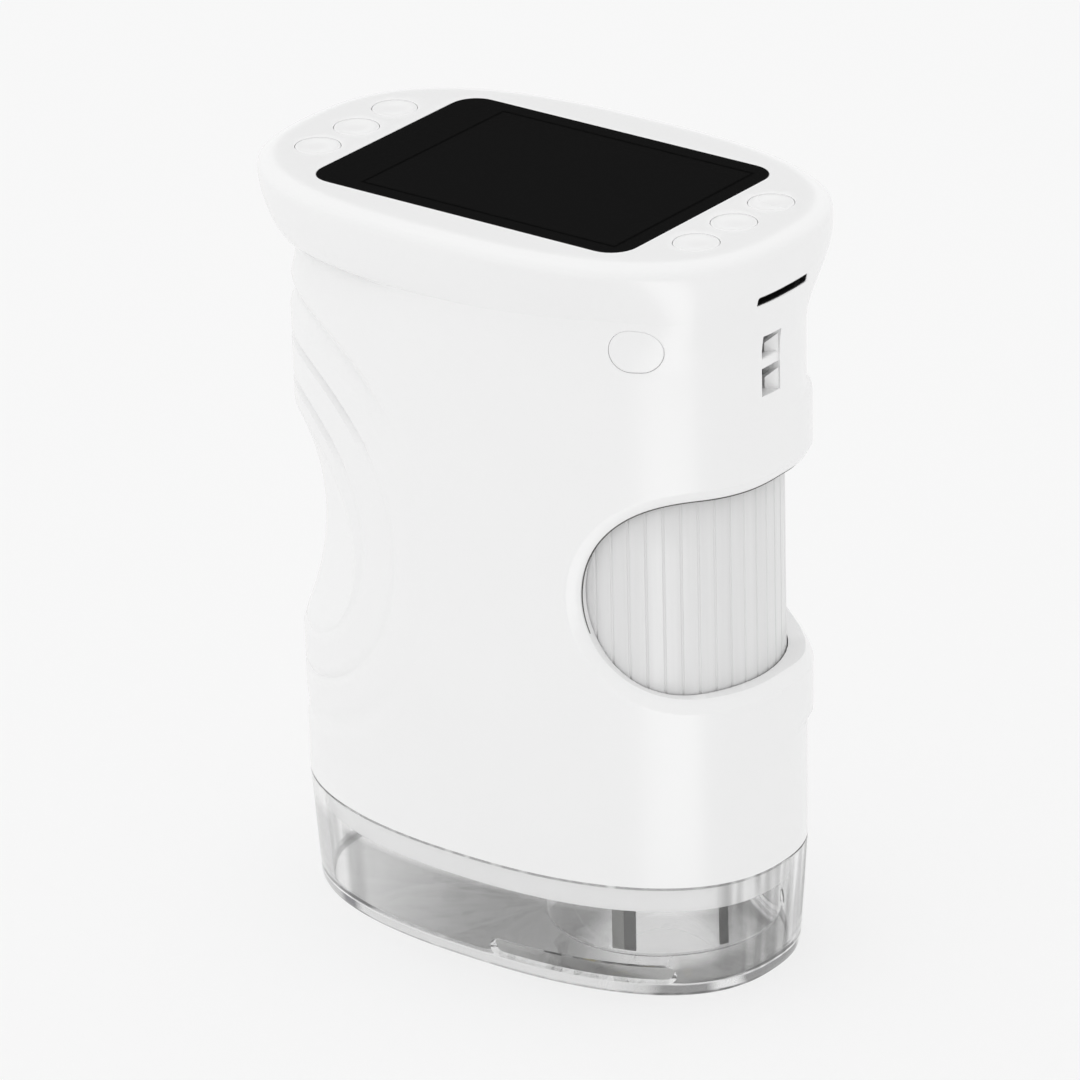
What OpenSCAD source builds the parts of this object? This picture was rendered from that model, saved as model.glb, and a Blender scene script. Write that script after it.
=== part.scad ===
// Handheld digital microscope with a flat screen on top, a ribbed focus wheel in one end,
// a thumb grip in the other end, and a clear standing base that takes a glass slide.
// +X points to the focus wheel, -Y to the front, +Z up. The origin is on the ground, under the middle.

/* [Overall] */
// Height from the ground to the top of the screen
overall_h = 107; // [105:0.5:110]
// Wall of the white shells
wall = 1.8; // [1.6:0.1:2]
// Middle of the optical axis along X
axis_x = 17.6; // [17.4:0.1:17.8]

/* [Body outline] */
// Half length of the body where it meets the head
body_half_x = 37.8; // [37.6:0.1:38]
// Half depth of the body where it meets the head
body_half_y = 22.7; // [22.5:0.1:23]
// Half length of the body where it meets the clear base
seam_half_x = 37.3; // [37.2:0.1:37.5]
// Half depth of the body where it meets the clear base
seam_half_y = 22.1; // [22:0.1:22.4]
// Squareness of the body's plan: 2 is an ellipse, larger is squarer
body_power = 2.28; // [2.26:0.02:2.4]

/* [Head] */
// Half length of the head at its widest
head_half_x = 39.9; // [39.7:0.1:40.5]
// Half depth of the head at its widest
head_half_y = 25.4; // [25.2:0.1:26]
// Squareness of the head's plan
head_power = 2.65; // [2.6:0.05:2.8]
// Height of the head's widest line below the top
head_mid_drop = 1.8; // [1.5:0.1:2.5]
// How far the rounded rim of the head draws in at the top
rim_round = 3; // [2.5:0.1:3.4]
// Height of the crease under the head at the middle of the body, below the top
crease_drop = 10; // [9.8:0.1:10.4]
// Rise of the crease per millimetre towards +X
crease_slope = 0.045; // [0:0.005:0.05]

/* [Screen] */
// Length of the cover glass
glass_x = 51; // [50:0.5:51.5]
// Depth of the cover glass
glass_y = 35.8; // [35:0.1:36]
// Corner radius of the cover glass
glass_corner = 3.75; // [3:0.25:5]
// Thickness of the cover glass
glass_t = 1.1; // [0.9:0.1:1.1]

/* [Buttons] */
// Distance of each row of round buttons from the middle
button_row_x = 30.8; // [30.5:0.1:31]
// Pitch of the round buttons in a row
button_pitch = 8.3; // [8.2:0.1:8.5]
// Radius of a round button
button_r = 3.05; // [2.8:0.05:3.1]
// Gap round a button
button_gap = 0.15; // [0.1:0.05:0.2]
// Travel of each button
button_travel = 0.5; // [0.3:0.1:0.5]
// Length of the oval button in the front
side_button_l = 7.6; // [7:0.2:8]
// Height of the oval button in the front
side_button_h = 6.2; // [5.8:0.1:6.4]

/* [Focus wheel] */
// Outer radius of the wheel over its ribs
wheel_r = 17; // [16.8:0.1:17.4]
// Number of ribs round the wheel
rib_count = 46; // [36:1:60]
// Radius of the groove between two ribs
rib_groove_r = 0.3; // [0.2:0.05:0.5]
// Radius of the opening in the shells that shows the wheel
window_r = 14.2; // [13.5:0.1:14.5]
// Height of the middle of that opening
window_z = 58.1; // [57.5:0.1:58.5]
// Radial running clearance of the wheel and of the lens barrel
running = 0.05; // [0.03:0.01:0.08]

/* [Thumb grip] */
// Radius of the scooped grip in the other end
grip_r = 16.5; // [15:0.5:17]
// Depth of the grip
grip_depth = 3.6; // [2.5:0.1:4]
// Height of the middle of the grip
grip_z = 55.3; // [54:0.1:57]

/* [Clear base] */
// Height of the clear base
base_h = 17; // [17:0.1:17.4]
// Half length of the base at the ground
base_half_x = 36; // [35.8:0.1:36.3]
// Half depth of the base at the ground
base_half_y = 20.4; // [20.3:0.1:20.8]
// Squareness of the base's plan at the ground
base_power = 2.42; // [2.36:0.02:2.5]
// Wall and floor of the clear base
base_wall = 1.6; // [1.5:0.05:1.7]
// Radius of the viewing hole in its floor
view_hole_r = 7; // [6:0.5:9]
// Length of the slot that a glass slide goes through
slide_slot_l = 26; // [25.6:0.2:27]
// Height of that slot
slide_slot_h = 2.6; // [2:0.1:2.8]

/* [Hidden] */
$fn = 64;
eps = 0.01;
cut = 5;                                  // how far a cutter runs past what it cuts

half_steps = 40;                          // facets round half of the body
seam_gap = 0.05;                          // hairline between the base and the body
split_z = overall_h - 9.5;                // joint between the shells and the head cover
head_mid_z = overall_h - head_mid_drop;   // widest line of the head
flare_z = overall_h - 16;                 // start of the soft flare that replaces the crease at +X
flare_h = 13;
grip_x = -33.6;                           // centre of the grip, seen from the front
window_x = 33.6;                          // centre of the wheel opening, seen from the front
collar_r = 24;                            // low collar round the rear of the opening
collar_h = 0.8;

// Levels inside the body
top_wall = 2;
board_z = 100.95;                         // underside of the main board
board_t = 1.2;
display_t = 2;
display_z = overall_h - top_wall - 0.1 - display_t;
plate_z = 13.2;                           // underside of the bottom plate
plate_t = 1.6;
lip_z = plate_z;
sleeve_z = 5.4;
sleeve_r = 15.6;
sleeve_wall = 1.4;
spigot_r = 13.5;                          // top of the sleeve, which plugs into the bottom plate
spigot_bore = 12.6;
lamp_z = plate_z + plate_t;
journal_r = 14;
barrel_r = 12;
barrel_z = 20.5;
barrel_l = 46;
wheel_z = window_z - 15.3;
wheel_l = 30.6;
journal_l = 2.2;
lower_plate_z = wheel_z - 2.4;
upper_plate_z = wheel_z + wheel_l + 0.4;
frame_plate_t = 2;
guide_z = 29;
guide_t = 3;
spine_x = -4;
post_r = 2.2;
frame_post = [4, 13];
tray_post = [-12, 13];
shell_screw_spots = [[-24, 84], [27, 84], [-24, 27], [0, 23]];
plate_screw_spots = [[-26, 10.5], [-3, 15]];
screw_seat = 4;                           // depth of a shell screw's seat below the skin

// Superellipse plan
function power_of(v, p) = sign(v) * pow(abs(v), p);
function oval_point(a, b, n, t) = [a * power_of(cos(t), 2 / n), b * power_of(sin(t), 2 / n)];
function oval(a, b, n, steps = 72) = [for (i = [0:steps - 1]) oval_point(a, b, n, 360 * i / steps)];
function mix(p, q, s) = p + (q - p) * s;

// Outline of the skin at height z. The head swells out above the crease and rounds in at the top.
function body_share(z) = (z - base_h) / (overall_h - base_h);
function crease_z(x) = overall_h - crease_drop + crease_slope * x;
function ramp(v) = max(0, min(1, v));
function ease(v) = let (u = ramp(v)) u * u * (3 - 2 * u);
function swell(x, z) =
    let (s = (head_mid_z - z) / (head_mid_z - crease_z(x)))
    let (crisp = s >= 1 ? 0 : s <= 0 ? 1 : pow(1 - pow(s, 1.5), 1 / 1.5))
    mix(crisp, ease((z - flare_z) / flare_h), ease((x - 20) / 14));
function rim_inset(z) =
    let (s = max(0, (z - head_mid_z) / head_mid_drop))
    rim_round * (1 - pow(1 - pow(min(s, 1), 2.6), 1 / 2.6));
function half_x(s, z) = mix(mix(seam_half_x, body_half_x, body_share(z)), head_half_x, s) - rim_inset(z);
function half_y(s, z) = mix(mix(seam_half_y, body_half_y, body_share(z)), head_half_y, s) - rim_inset(z);

// The grip is a shallow bowl pressed into the -X end
function grip_press(x, z) =
    let (r = norm([x - grip_x, z - grip_z]) / grip_r)
    x < 0 && r < 1 ? grip_depth * (1 - r * r) : 0;

// A low collar stands round the wheel opening at the rear
function collar(x, y, z) =
    let (near = ramp((collar_r - norm([x - window_x, z - window_z])) / 1.2))
    collar_h * near * ramp((x - 24) / 6) * ease((y - 1) / 8);
function skin_point(t, z) =
    let (s = swell(body_half_x * cos(t), z), a = half_x(s, z), b = half_y(s, z))
    let (n = mix(body_power, head_power, s), p = oval_point(a, b, n, t))
    let (g = [power_of(p.x / a, n - 1) / a, power_of(p.y / b, n - 1) / b])
    let (q = p + (collar(p.x, p.y, z) - grip_press(p.x, z)) * g / norm(g))
    [q.x, q.y, z];

// Closed solid of the skin between the angles from and from + sweep. Its levels are pairs:
// a share of the way from z_low to the crease, and a share of the way from there to z_high.
module skin_solid(levels, z_low, z_high, from, sweep, steps) {
    closed = sweep == 360;
    row = closed ? steps : steps + 1;
    last = len(levels) - 1;
    points = [for (level = levels, i = [0:row - 1])
        let (t = from + sweep * i / steps, fold = min(crease_z(body_half_x * cos(t)), z_high - 0.6))
        skin_point(t, mix(mix(z_low, max(fold, z_low), level[0]), z_high, level[1]))];
    side = [for (k = [0:last - 1], i = [0:steps - 1])
        let (j = (i + 1) % row, lo = k * row, hi = lo + row)
        each [[lo + i, hi + i, hi + j], [lo + i, hi + j, lo + j]]];
    bottom = [for (i = [0:row - 1]) i];
    top = [for (i = [row - 1:-1:0]) last * row + i];
    back = closed ? [] : [concat([for (k = [last:-1:0]) k * row], [for (k = [0:last]) k * row + row - 1])];
    polyhedron(points, concat(side, [bottom, top], back));
}

module oval_block(a, b, n, z0, z1) {
    translate([0, 0, z0])
        linear_extrude(z1 - z0)
            polygon(oval(a, b, n));
}

module ring(r_out, r_in, z0, z1) {
    difference() {
        translate([0, 0, z0])
            cylinder(r = r_out, h = z1 - z0);
        translate([0, 0, z0 - 1])
            cylinder(r = r_in, h = z1 - z0 + 2);
    }
}

module rounded_plate(x, y, r, z0, z1) {
    translate([0, 0, z0])
        linear_extrude(z1 - z0) {
            square([x - 2 * r, y], center = true);
            square([x, y - 2 * r], center = true);
            for (sx = [-1, 1], sy = [-1, 1])
                translate([sx * (x / 2 - r), sy * (y / 2 - r)])
                    circle(r);
        }
}

module block(x0, x1, y0, y1, z0, z1) {
    translate([x0, y0, z0])
        cube([x1 - x0, y1 - y0, z1 - z0]);
}

// Bar along Y through the spot [x, z], from y0 to y1
module cross_bar(spot, r, y0, y1) {
    translate([spot.x, y1, spot.y])
        rotate([90, 0, 0])
            cylinder(r = r, h = y1 - y0);
}

// Space inside the two shells, drawn in past the grip
module shell_cavity() {
    lip_bore = [seam_half_x - 3.7, seam_half_y - 3.7];
    room = [body_half_x - wall - 0.3, body_half_y - wall - 0.3];
    grip_low = 37;
    grip_high = 75;
    oval_block(lip_bore.x, lip_bore.y, body_power, lip_z - 1, base_h + 2);
    oval_block(room.x, room.y, body_power, base_h + wall, grip_low);
    oval_block(room.x, room.y, body_power, grip_high, split_z + 1);
    intersection() {
        oval_block(room.x, room.y, body_power, grip_low - eps, grip_high + eps);
        translate([7, 0, 0])
            oval_block(room.x + 0.4, room.y, body_power, grip_low - 1, grip_high + 1);
    }
    translate([axis_x, 0, wheel_z - 0.3])
        cylinder(r = wheel_r + 0.3, h = wheel_l + 0.6);
}

// Opening that shows the focus wheel, cut from front to rear and out through the end
module wheel_window() {
    cross_bar([window_x, window_z], window_r, -head_half_y, head_half_y);
    block(window_x, head_half_x, -head_half_y, head_half_y, window_z - window_r, window_z + window_r);
}

// Places its child on the front face at the oval button, with +X pointing out
module at_side_button() {
    translate([27.35, -17, 94])
        rotate([0, 0, -61.5])
            children();
}

// Oval prism along X
module oval_key(l, h, x0, x1) {
    flat = (l - h) / 2;
    for (s = [-1, 1])
        translate([x0, s * flat, 0])
            rotate([0, 90, 0])
                cylinder(r = h / 2, h = x1 - x0);
    block(x0, x1, -flat, flat, -h / 2, h / 2);
}

lanyard_y = [-3.5, 0.2];
lanyard_z = [85.3, 93.8];
bar_z = [89, 90.5];

// One half of the body before its holes are cut: side is -1 for the front and 1 for the rear
module half_shell_blank(side) {
    side_rows = 30;
    top_rows = 5;
    levels = concat(
        [for (i = [0:side_rows]) [i / side_rows, 0]],
        [for (i = [1:top_rows]) [1, i / top_rows]]);
    difference() {
        union() {
            skin_solid(levels, base_h, split_z, 90 - 90 * side, 180, half_steps);
            intersection() {
                oval_block(seam_half_x - 2.3, seam_half_y - 2.3, body_power, lip_z, base_h + 1);
                translate([-head_half_x, min(0, side * head_half_y), lip_z - 1])
                    cube([2 * head_half_x, head_half_y, 5 + base_h - lip_z]);
            }
        }
        shell_cavity();
    }
}

module shell_posts(boss_r) {
    intersection() {
        for (spot = shell_screw_spots)
            cross_bar(spot, boss_r, -head_half_y, 0);
        oval_block(seam_half_x - 1, seam_half_y - 1, body_power, base_h, split_z);
    }
    for (spot = plate_screw_spots)
        translate([spot.x, -spot.y, plate_z + plate_t])
            cylinder(r = 2.4, h = 10.5);
}
function skin_depth(x) = seam_half_y * pow(1 - pow(abs(x) / seam_half_x, body_power), 1 / body_power);

module lanyard_block(y0, y1) {
    block(31.5, 36.5, y0, y1, lanyard_z[0] - 1.5, lanyard_z[1] + 1.5);
}

module plate_screw_bores() {
    for (spot = plate_screw_spots)
        translate([spot.x, -spot.y, plate_z])
            cylinder(r = 0.95, h = 9);
}

module lanyard_pocket() {
    block(33.7, head_half_x, lanyard_y[0], lanyard_y[1], lanyard_z[0], lanyard_z[1]);
}

module front_shell() {
    color("whitesmoke")
    difference() {
        union() {
            half_shell_blank(-1);
            shell_posts(3);
            lanyard_block(lanyard_y[0] - 1.6, 0);
        }
        wheel_window();
        lanyard_pocket();
        plate_screw_bores();
        for (spot = shell_screw_spots)
            cross_bar(spot, 0.95, -8, 1);
        at_side_button()
            oval_key(side_button_l + 2 * button_gap, side_button_h + 2 * button_gap, -cut, cut);
    }
}

module rear_shell() {
    color("whitesmoke")
    difference() {
        union() {
            half_shell_blank(1);
            mirror([0, 1, 0])
                shell_posts(3);
            lanyard_block(0, lanyard_y[1] + 1.6);
        }
        wheel_window();
        lanyard_pocket();
        mirror([0, 1, 0])
            plate_screw_bores();
        for (spot = shell_screw_spots) {
            cross_bar(spot, 1.3, -1, head_half_y);
            cross_bar(spot, 2.3, skin_depth(spot.x) - screw_seat, head_half_y);
        }
    }
}

module lanyard_bar() {
    color("whitesmoke")
    block(35.9, 37.4, lanyard_y[0], lanyard_y[1], bar_z[0], bar_z[1]);
}

// Slot for the memory card and port for the charging plug, both under the main board
tongue_x = 35.4;
tongue_y = 20.3;
card_slot_y = [-6.6, 5.2];
card_slot_z = [99.4, 100.5];
charge_port = [8.9, 3.1, 99.35];

module head_cover() {
    low_share = (head_mid_z - split_z) / (overall_h - split_z);
    levels = concat(
        [for (i = [0:8]) [0, low_share * i / 9]],
        [for (i = [0:6]) [0, mix(low_share, 1, sin(90 * i / 6))]]);
    room_x = head_half_x - wall - 0.4;
    room_y = head_half_y - wall - 0.4;
    color("white")
    difference() {
        union() {
            difference() {
                skin_solid(levels, split_z, overall_h, 0, 360, 2 * half_steps);
                oval_block(tongue_x - 1.2, tongue_y - 1.2, body_power, split_z - 1, split_z + 2);
                oval_block(room_x - 1, room_y - 1.6, 2.5, split_z + 1, board_z + 0.3);
                oval_block(room_x, room_y, head_power, board_z + 0.2, overall_h - top_wall);
            }
            tongue();
        }
        at_side_button()
            block(-6, -1.4, -6, 6, -cut, split_z + 1.2 - 94);
        block(-tongue_x - 0.6, -20, -5, 5, split_z - cut, board_z);
        rounded_plate(glass_x + 0.1, glass_y + 0.1, glass_corner, overall_h - glass_t - 0.05, overall_h + 1);
        rounded_plate(glass_x - 3.6, glass_y - 3.4, 2, overall_h - cut, overall_h + 1);
        for (sx = [-1, 1], k = [-1:1])
            translate([sx * button_row_x, k * button_pitch, overall_h - cut])
                cylinder(r = button_r + button_gap, h = cut + 1);
        block(room_x - 8, head_half_x + 1, card_slot_y[0], card_slot_y[1], card_slot_z[0], card_slot_z[1]);
        translate([0, 0, charge_port[2]])
            rotate([0, 0, 180])
                oval_key(charge_port[0], charge_port[1], 30, head_half_x + 1);
    }
}

// Thin tongue that reaches down inside the shells and keeps head and body in line
module tongue() {
    difference() {
        oval_block(tongue_x, tongue_y, body_power, split_z - 2, split_z + 0.5);
        oval_block(tongue_x - 1.2, tongue_y - 1.2, body_power, split_z - 3, split_z + 1);
    }
}

module cover_glass() {
    color("#171717")
    rounded_plate(glass_x, glass_y, glass_corner, overall_h - glass_t - 0.05, overall_h - 0.05);
}

module display_panel() {
    color("dimgray")
    rounded_plate(45.8, 34, 0.8, display_z, display_z + display_t);
}

module display_frame() {
    color("silver")
    difference() {
        rounded_plate(48, 35.6, 1, board_z + board_t, display_z);
        rounded_plate(42, 30.4, 1, board_z, display_z + 1);
    }
}

module main_board() {
    color("seagreen")
    difference() {
        oval_block(35.8, 21.4, 2.6, board_z, board_z + board_t);
        for (spot = [frame_post, tray_post], s = [-1, 1])
            translate([spot.x, s * spot.y, board_z - 1])
                cylinder(r = 1.1, h = board_t + 2);
    }
}

module button_switches() {
    z0 = board_z + board_t;
    color("dimgray")
    for (sx = [-1, 1], k = [-1:1])
        translate([sx * button_row_x, k * button_pitch, 0]) {
            block(-1.8, 1.8, -1.8, 1.8, z0, z0 + 1);
            translate([0, 0, z0 + 1 - eps])
                cylinder(r = 1.1, h = 0.2);
        }
}

// Round button: its cap fills the hole in the cover and its flange stops against the underside
module round_button(sx, k) {
    color("white")
    translate([sx * button_row_x, k * button_pitch, 0]) {
        flange_top = overall_h - top_wall - 0.03;
        translate([0, 0, flange_top - 0.9])
            cylinder(r = button_r + 0.6, h = 0.9);
        translate([0, 0, flange_top - eps])
            cylinder(r = button_r, h = overall_h - flange_top - 0.05 + eps);
        translate([0, 0, board_z + board_t + 1.3 + button_travel])
            cylinder(r = 1.3, h = flange_top - board_z - board_t - 1.3 - button_travel);
    }
}

module left_button_front() { round_button(-1, -1); }
module left_button_middle() { round_button(-1, 0); }
module left_button_rear() { round_button(-1, 1); }
module right_button_front() { round_button(1, -1); }
module right_button_middle() { round_button(1, 0); }
module right_button_rear() { round_button(1, 1); }

// Oval button: a cap that follows the curve of the front, with a flange behind the wall
module side_button() {
    face_curve = 29;
    color("white")
    at_side_button()
        intersection() {
            union() {
                oval_key(side_button_l, side_button_h, -4, 1);
                oval_key(side_button_l + 1.2, side_button_h + 1.2, -4, -3);
            }
            translate([-face_curve - 0.1, 0, -cut])
                cylinder(r = face_curve, h = 2 * cut);
        }
}

module side_switch() {
    color("dimgray")
    at_side_button() {
        block(-8.2, -5.2, -3, 3, -3, board_z - 94);
        translate([-5.2 - eps, 0, 0])
            rotate([0, 90, 0])
                cylinder(r = 1.2, h = 0.6);
    }
}

// Ribbed sleeve with a bearing journal at each end; the bore drives the lens barrel
module focus_wheel() {
    color("gainsboro")
    translate([axis_x, 0, 0])
        difference() {
            union() {
                translate([0, 0, wheel_z])
                    linear_extrude(wheel_l)
                        difference() {
                            circle(wheel_r);
                            for (i = [0:rib_count - 1])
                                rotate(360 * i / rib_count)
                                    translate([wheel_r + 0.05, 0])
                                        circle(rib_groove_r);
                        }
                translate([0, 0, wheel_z - journal_l])
                    cylinder(r = journal_r, h = wheel_l + 2 * journal_l);
            }
            translate([0, 0, wheel_z - journal_l - 1])
                cylinder(r = barrel_r + running, h = wheel_l + 2 * journal_l + 2);
        }
}

// Frame that carries the wheel between two bearing plates and guides the lens barrel
module frame_plate(z0, t, bore) {
    difference() {
        intersection() {
            oval_block(35.2, 19.6, body_power, z0, z0 + t);
            block(spine_x, head_half_x, -head_half_y, head_half_y, z0 - 1, z0 + t + 1);
        }
        translate([axis_x, 0, z0 - 1])
            cylinder(r = bore, h = t + 2);
    }
}

key_w = 2;
key_out = 13.6;

module inner_frame() {
    color("lightgray")
    difference() {
        union() {
            frame_plate(lower_plate_z, frame_plate_t, journal_r + running);
            frame_plate(upper_plate_z, frame_plate_t, journal_r + running);
            frame_plate(guide_z, guide_t, barrel_r + running);
            block(spine_x, spine_x + 2, -14, 14, guide_z, upper_plate_z + frame_plate_t);
            for (s = [-1, 1])
                translate([frame_post.x, s * frame_post.y, upper_plate_z])
                    cylinder(r = post_r, h = board_z - upper_plate_z);
        }
        block(axis_x - key_out - 0.3, axis_x - 10, -key_w / 2 - 0.15, key_w / 2 + 0.15, guide_z - 1,
            guide_z + guide_t + 1);
        for (s = [-1, 1])
            translate([frame_post.x, s * frame_post.y, board_z - 6])
                cylinder(r = 0.95, h = 7);
    }
}

module lens_barrel() {
    color("#2a2a2a")
    translate([axis_x, 0, 0])
        difference() {
            union() {
                translate([0, 0, barrel_z])
                    cylinder(r = barrel_r, h = barrel_l);
                block(-key_out, -11, -key_w / 2, key_w / 2, 22, 36);
            }
            translate([0, 0, barrel_z - 1])
                cylinder(r = 6.5, h = barrel_l + 2);
            translate([0, 0, barrel_z + 3])
                cylinder(r = 9, h = barrel_l);
        }
}

// Lens with one domed face, r wide and t thick at its middle
module dome_lens(r, t, sag, z0) {
    $fn = 200;
    sphere_r = (r * r + sag * sag) / (2 * sag);
    translate([axis_x, 0, z0])
        intersection() {
            cylinder(r = r, h = t);
            translate([0, 0, t - sphere_r])
                sphere(r = sphere_r);
        }
}

module objective_lens() {
    color("lightsteelblue")
    dome_lens(8.95, 3, 1.4, barrel_z + 3);
}

module lens_ring() {
    color("#333333")
    translate([axis_x, 0, 0])
        ring(8.95, 7.6, barrel_z + 6.1, barrel_z + 8);
}

module rear_lens() {
    color("lightsteelblue")
    dome_lens(8.95, 2.4, 1, barrel_z + 38);
}

module sensor_board() {
    color("seagreen")
    block(5, 31.4, -9, 9, upper_plate_z + frame_plate_t, upper_plate_z + frame_plate_t + 1.2);
}

module image_sensor() {
    z1 = upper_plate_z + frame_plate_t;
    color("#303030")
    translate([axis_x, 0, 0]) {
        block(-4.2, 4.2, -4.2, 4.2, z1 - 1.2, z1);
    }
}

module sensor_flex() {
    color("darkorange")
    block(6.8, 7.1, -4, 4, upper_plate_z + frame_plate_t + 1.2, board_z);
}

module battery() {
    color("steelblue")
    block(-14.2, spine_x - 2.2, -14.6, 14.6, 34, 90);
}

module battery_tray() {
    color("lightgray")
    difference() {
        union() {
            block(spine_x - 2, spine_x, -16, 16, 32, 91.8);
            block(-16.4, spine_x, -16, 16, 32, 33.8);
            block(-16.4, spine_x, -16, 16, 90.2, 91.8);
            for (s = [-1, 1])
                translate([tray_post.x, s * tray_post.y, 90.2])
                    cylinder(r = post_r, h = board_z - 90.2);
        }
        for (s = [-1, 1])
            translate([tray_post.x, s * tray_post.y, board_z - 6])
                cylinder(r = 0.95, h = 7);
    }
}

module lamp_board() {
    color("white")
    translate([axis_x, 0, 0])
        ring(14.6, 9.6, lamp_z, lamp_z + 1.2);
}

module lamp_leds() {
    led_count = 8;
    color("lightyellow")
    translate([axis_x, 0, 0])
        for (i = [0:led_count - 1])
            rotate([0, 0, 360 * (i + 0.5) / led_count])
                block(10.2, 12.2, -1, 1, lamp_z - 0.7, lamp_z);
}

module bottom_plate() {
    color("whitesmoke")
    difference() {
        oval_block(33.4, 18.2, body_power, plate_z, plate_z + plate_t);
        translate([axis_x, 0, plate_z - 1])
            cylinder(r = spigot_r + 0.02, h = plate_t + 2);
        for (spot = plate_screw_spots, s = [-1, 1])
            translate([spot.x, s * spot.y, plate_z - 1])
                cylinder(r = 1.1, h = plate_t + 2);
    }
}

module light_sleeve() {
    color("aliceblue", 0.4)
    translate([axis_x, 0, 0]) {
        ring(sleeve_r, sleeve_r - sleeve_wall, sleeve_z, plate_z);
        ring(sleeve_r - sleeve_wall + eps, spigot_bore, plate_z - 1, plate_z);
        ring(spigot_r, spigot_bore, plate_z - 1, lamp_z);
    }
}

module lens_window() {
    color("aliceblue", 0.4)
    translate([axis_x, 0, plate_z - 0.9])
        cylinder(r = spigot_bore - 0.02, h = 1);
}

module charge_socket() {
    color("silver")
    difference() {
        block(-35.9, -28.8, -4.5, 4.5, board_z - 3.2, board_z);
        block(-37, -30, -4.1, 4.1, board_z - 2.8, board_z - 0.4);
    }
}

module card_socket() {
    color("silver")
    difference() {
        block(24, 35.5, card_slot_y[0] - 0.8, card_slot_y[1] + 0.8, 99.02, board_z);
        block(25, 38, card_slot_y[0], card_slot_y[1], card_slot_z[0], card_slot_z[1]);
    }
}

module screw(head_r, head_h, shank_r, shank_l) {
    cylinder(r = head_r, h = head_h);
    translate([0, 0, -shank_l])
        cylinder(r = shank_r, h = shank_l + eps);
}

module shell_screws() {
    color("silver")
    for (spot = shell_screw_spots)
        translate([spot.x, skin_depth(spot.x) - screw_seat, spot.y])
            rotate([-90, 0, 0])
                screw(2.1, 1.4, 0.9, skin_depth(spot.x) + 2.5);
}

module plate_screws() {
    color("silver")
    for (spot = plate_screw_spots, s = [-1, 1])
        translate([spot.x, s * spot.y, plate_z])
            rotate([180, 0, 0])
                screw(1.8, 0.8, 0.9, 7.5);
}

module board_screws() {
    color("silver")
    for (spot = [frame_post, tray_post], s = [-1, 1])
        translate([spot.x, s * spot.y, board_z + board_t])
            screw(1.6, 0.65, 0.9, 6);
}

// Clear cup that the body plugs into; its sides taper and its foot is rounded
module base_slices(slices) {
    hull()
        for (s = slices)
            oval_block(s[0], s[1], s[2] < base_h / 2 ? base_power : body_power, s[2], s[2] + eps);
}

module clear_base() {
    top = base_h - seam_gap;
    foot = base_half_x;
    deep = base_half_y;
    slot_z = 2.2;
    slot_x = 16.8;
    color("aliceblue", 0.4)
    difference() {
        base_slices([[foot - 1.5, deep - 1.5, 0], [foot - 0.6, deep - 0.6, 0.4], [foot, deep, 1.5],
            [seam_half_x, seam_half_y, top - eps]]);
        base_slices([[foot - base_wall - 0.7, deep - base_wall - 0.7, base_wall],
            [foot - base_wall + 0.05, deep - base_wall + 0.05, base_wall + 1],
            [seam_half_x - base_wall, seam_half_y - base_wall, top + eps]]);
        translate([axis_x, 0, -1])
            cylinder(r = view_hole_r, h = base_wall + 2);
        block(slot_x - slide_slot_l / 2, slot_x + slide_slot_l / 2, -head_half_y, head_half_y, slot_z,
            slot_z + slide_slot_h);
    }
}

clear_base();
front_shell();
rear_shell();
head_cover();
cover_glass();
display_panel();
display_frame();
main_board();
button_switches();
left_button_front();
left_button_middle();
left_button_rear();
right_button_front();
right_button_middle();
right_button_rear();
side_button();
side_switch();
focus_wheel();
inner_frame();
lens_barrel();
objective_lens();
rear_lens();
lens_ring();
sensor_board();
image_sensor();
sensor_flex();
battery();
battery_tray();
lamp_board();
lamp_leds();
bottom_plate();
light_sleeve();
lens_window();
charge_socket();
card_socket();
lanyard_bar();
shell_screws();
plate_screws();
board_screws();
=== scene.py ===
import math

import bpy
import numpy as np
from mathutils import Matrix, Vector
from mathutils.geometry import delaunay_2d_cdt
from mathutils.kdtree import KDTree


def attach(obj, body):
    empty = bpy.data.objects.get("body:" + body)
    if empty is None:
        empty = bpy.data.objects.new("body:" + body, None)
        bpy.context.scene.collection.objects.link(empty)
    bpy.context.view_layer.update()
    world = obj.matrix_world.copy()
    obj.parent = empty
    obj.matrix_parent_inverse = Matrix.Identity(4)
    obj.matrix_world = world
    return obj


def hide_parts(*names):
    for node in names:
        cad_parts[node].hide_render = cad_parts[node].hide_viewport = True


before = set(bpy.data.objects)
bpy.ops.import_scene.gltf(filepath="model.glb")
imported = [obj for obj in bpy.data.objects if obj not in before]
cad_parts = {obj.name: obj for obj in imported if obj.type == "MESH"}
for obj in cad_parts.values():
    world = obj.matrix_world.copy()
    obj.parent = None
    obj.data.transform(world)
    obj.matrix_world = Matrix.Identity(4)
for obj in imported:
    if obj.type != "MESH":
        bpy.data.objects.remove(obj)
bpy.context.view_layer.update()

MM = 0.001

# Sizes in millimetres, the same as the solids', except that the card slot, the oval button and the grooves of
# the wheel are a little smaller here. A plan is given as half length and half width, and it is a superellipse
# of the named power.
TOP = 107.0
SEAM_Z = 17.0
BODY = (37.8, 22.7)
SEAM = (37.3, 22.1)
HEAD = (39.9, 25.4)
BODY_POWER = 2.28
HEAD_POWER = 2.65
MID_DROP = 1.8                 # from the top down to the widest line of the head
RIM_ROUND = 3.0
RIM_POWER = 2.6
CREASE_DROP = 10               # from the top down to the crease under the head, at x = 0
CREASE_SLOPE = 0.045
AXIS_X = 17.6                  # lens, wheel and viewing hole
WALL = 1.8
COVER_WALL = 2.2
COVER_UNDER = TOP - 2.1

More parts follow.
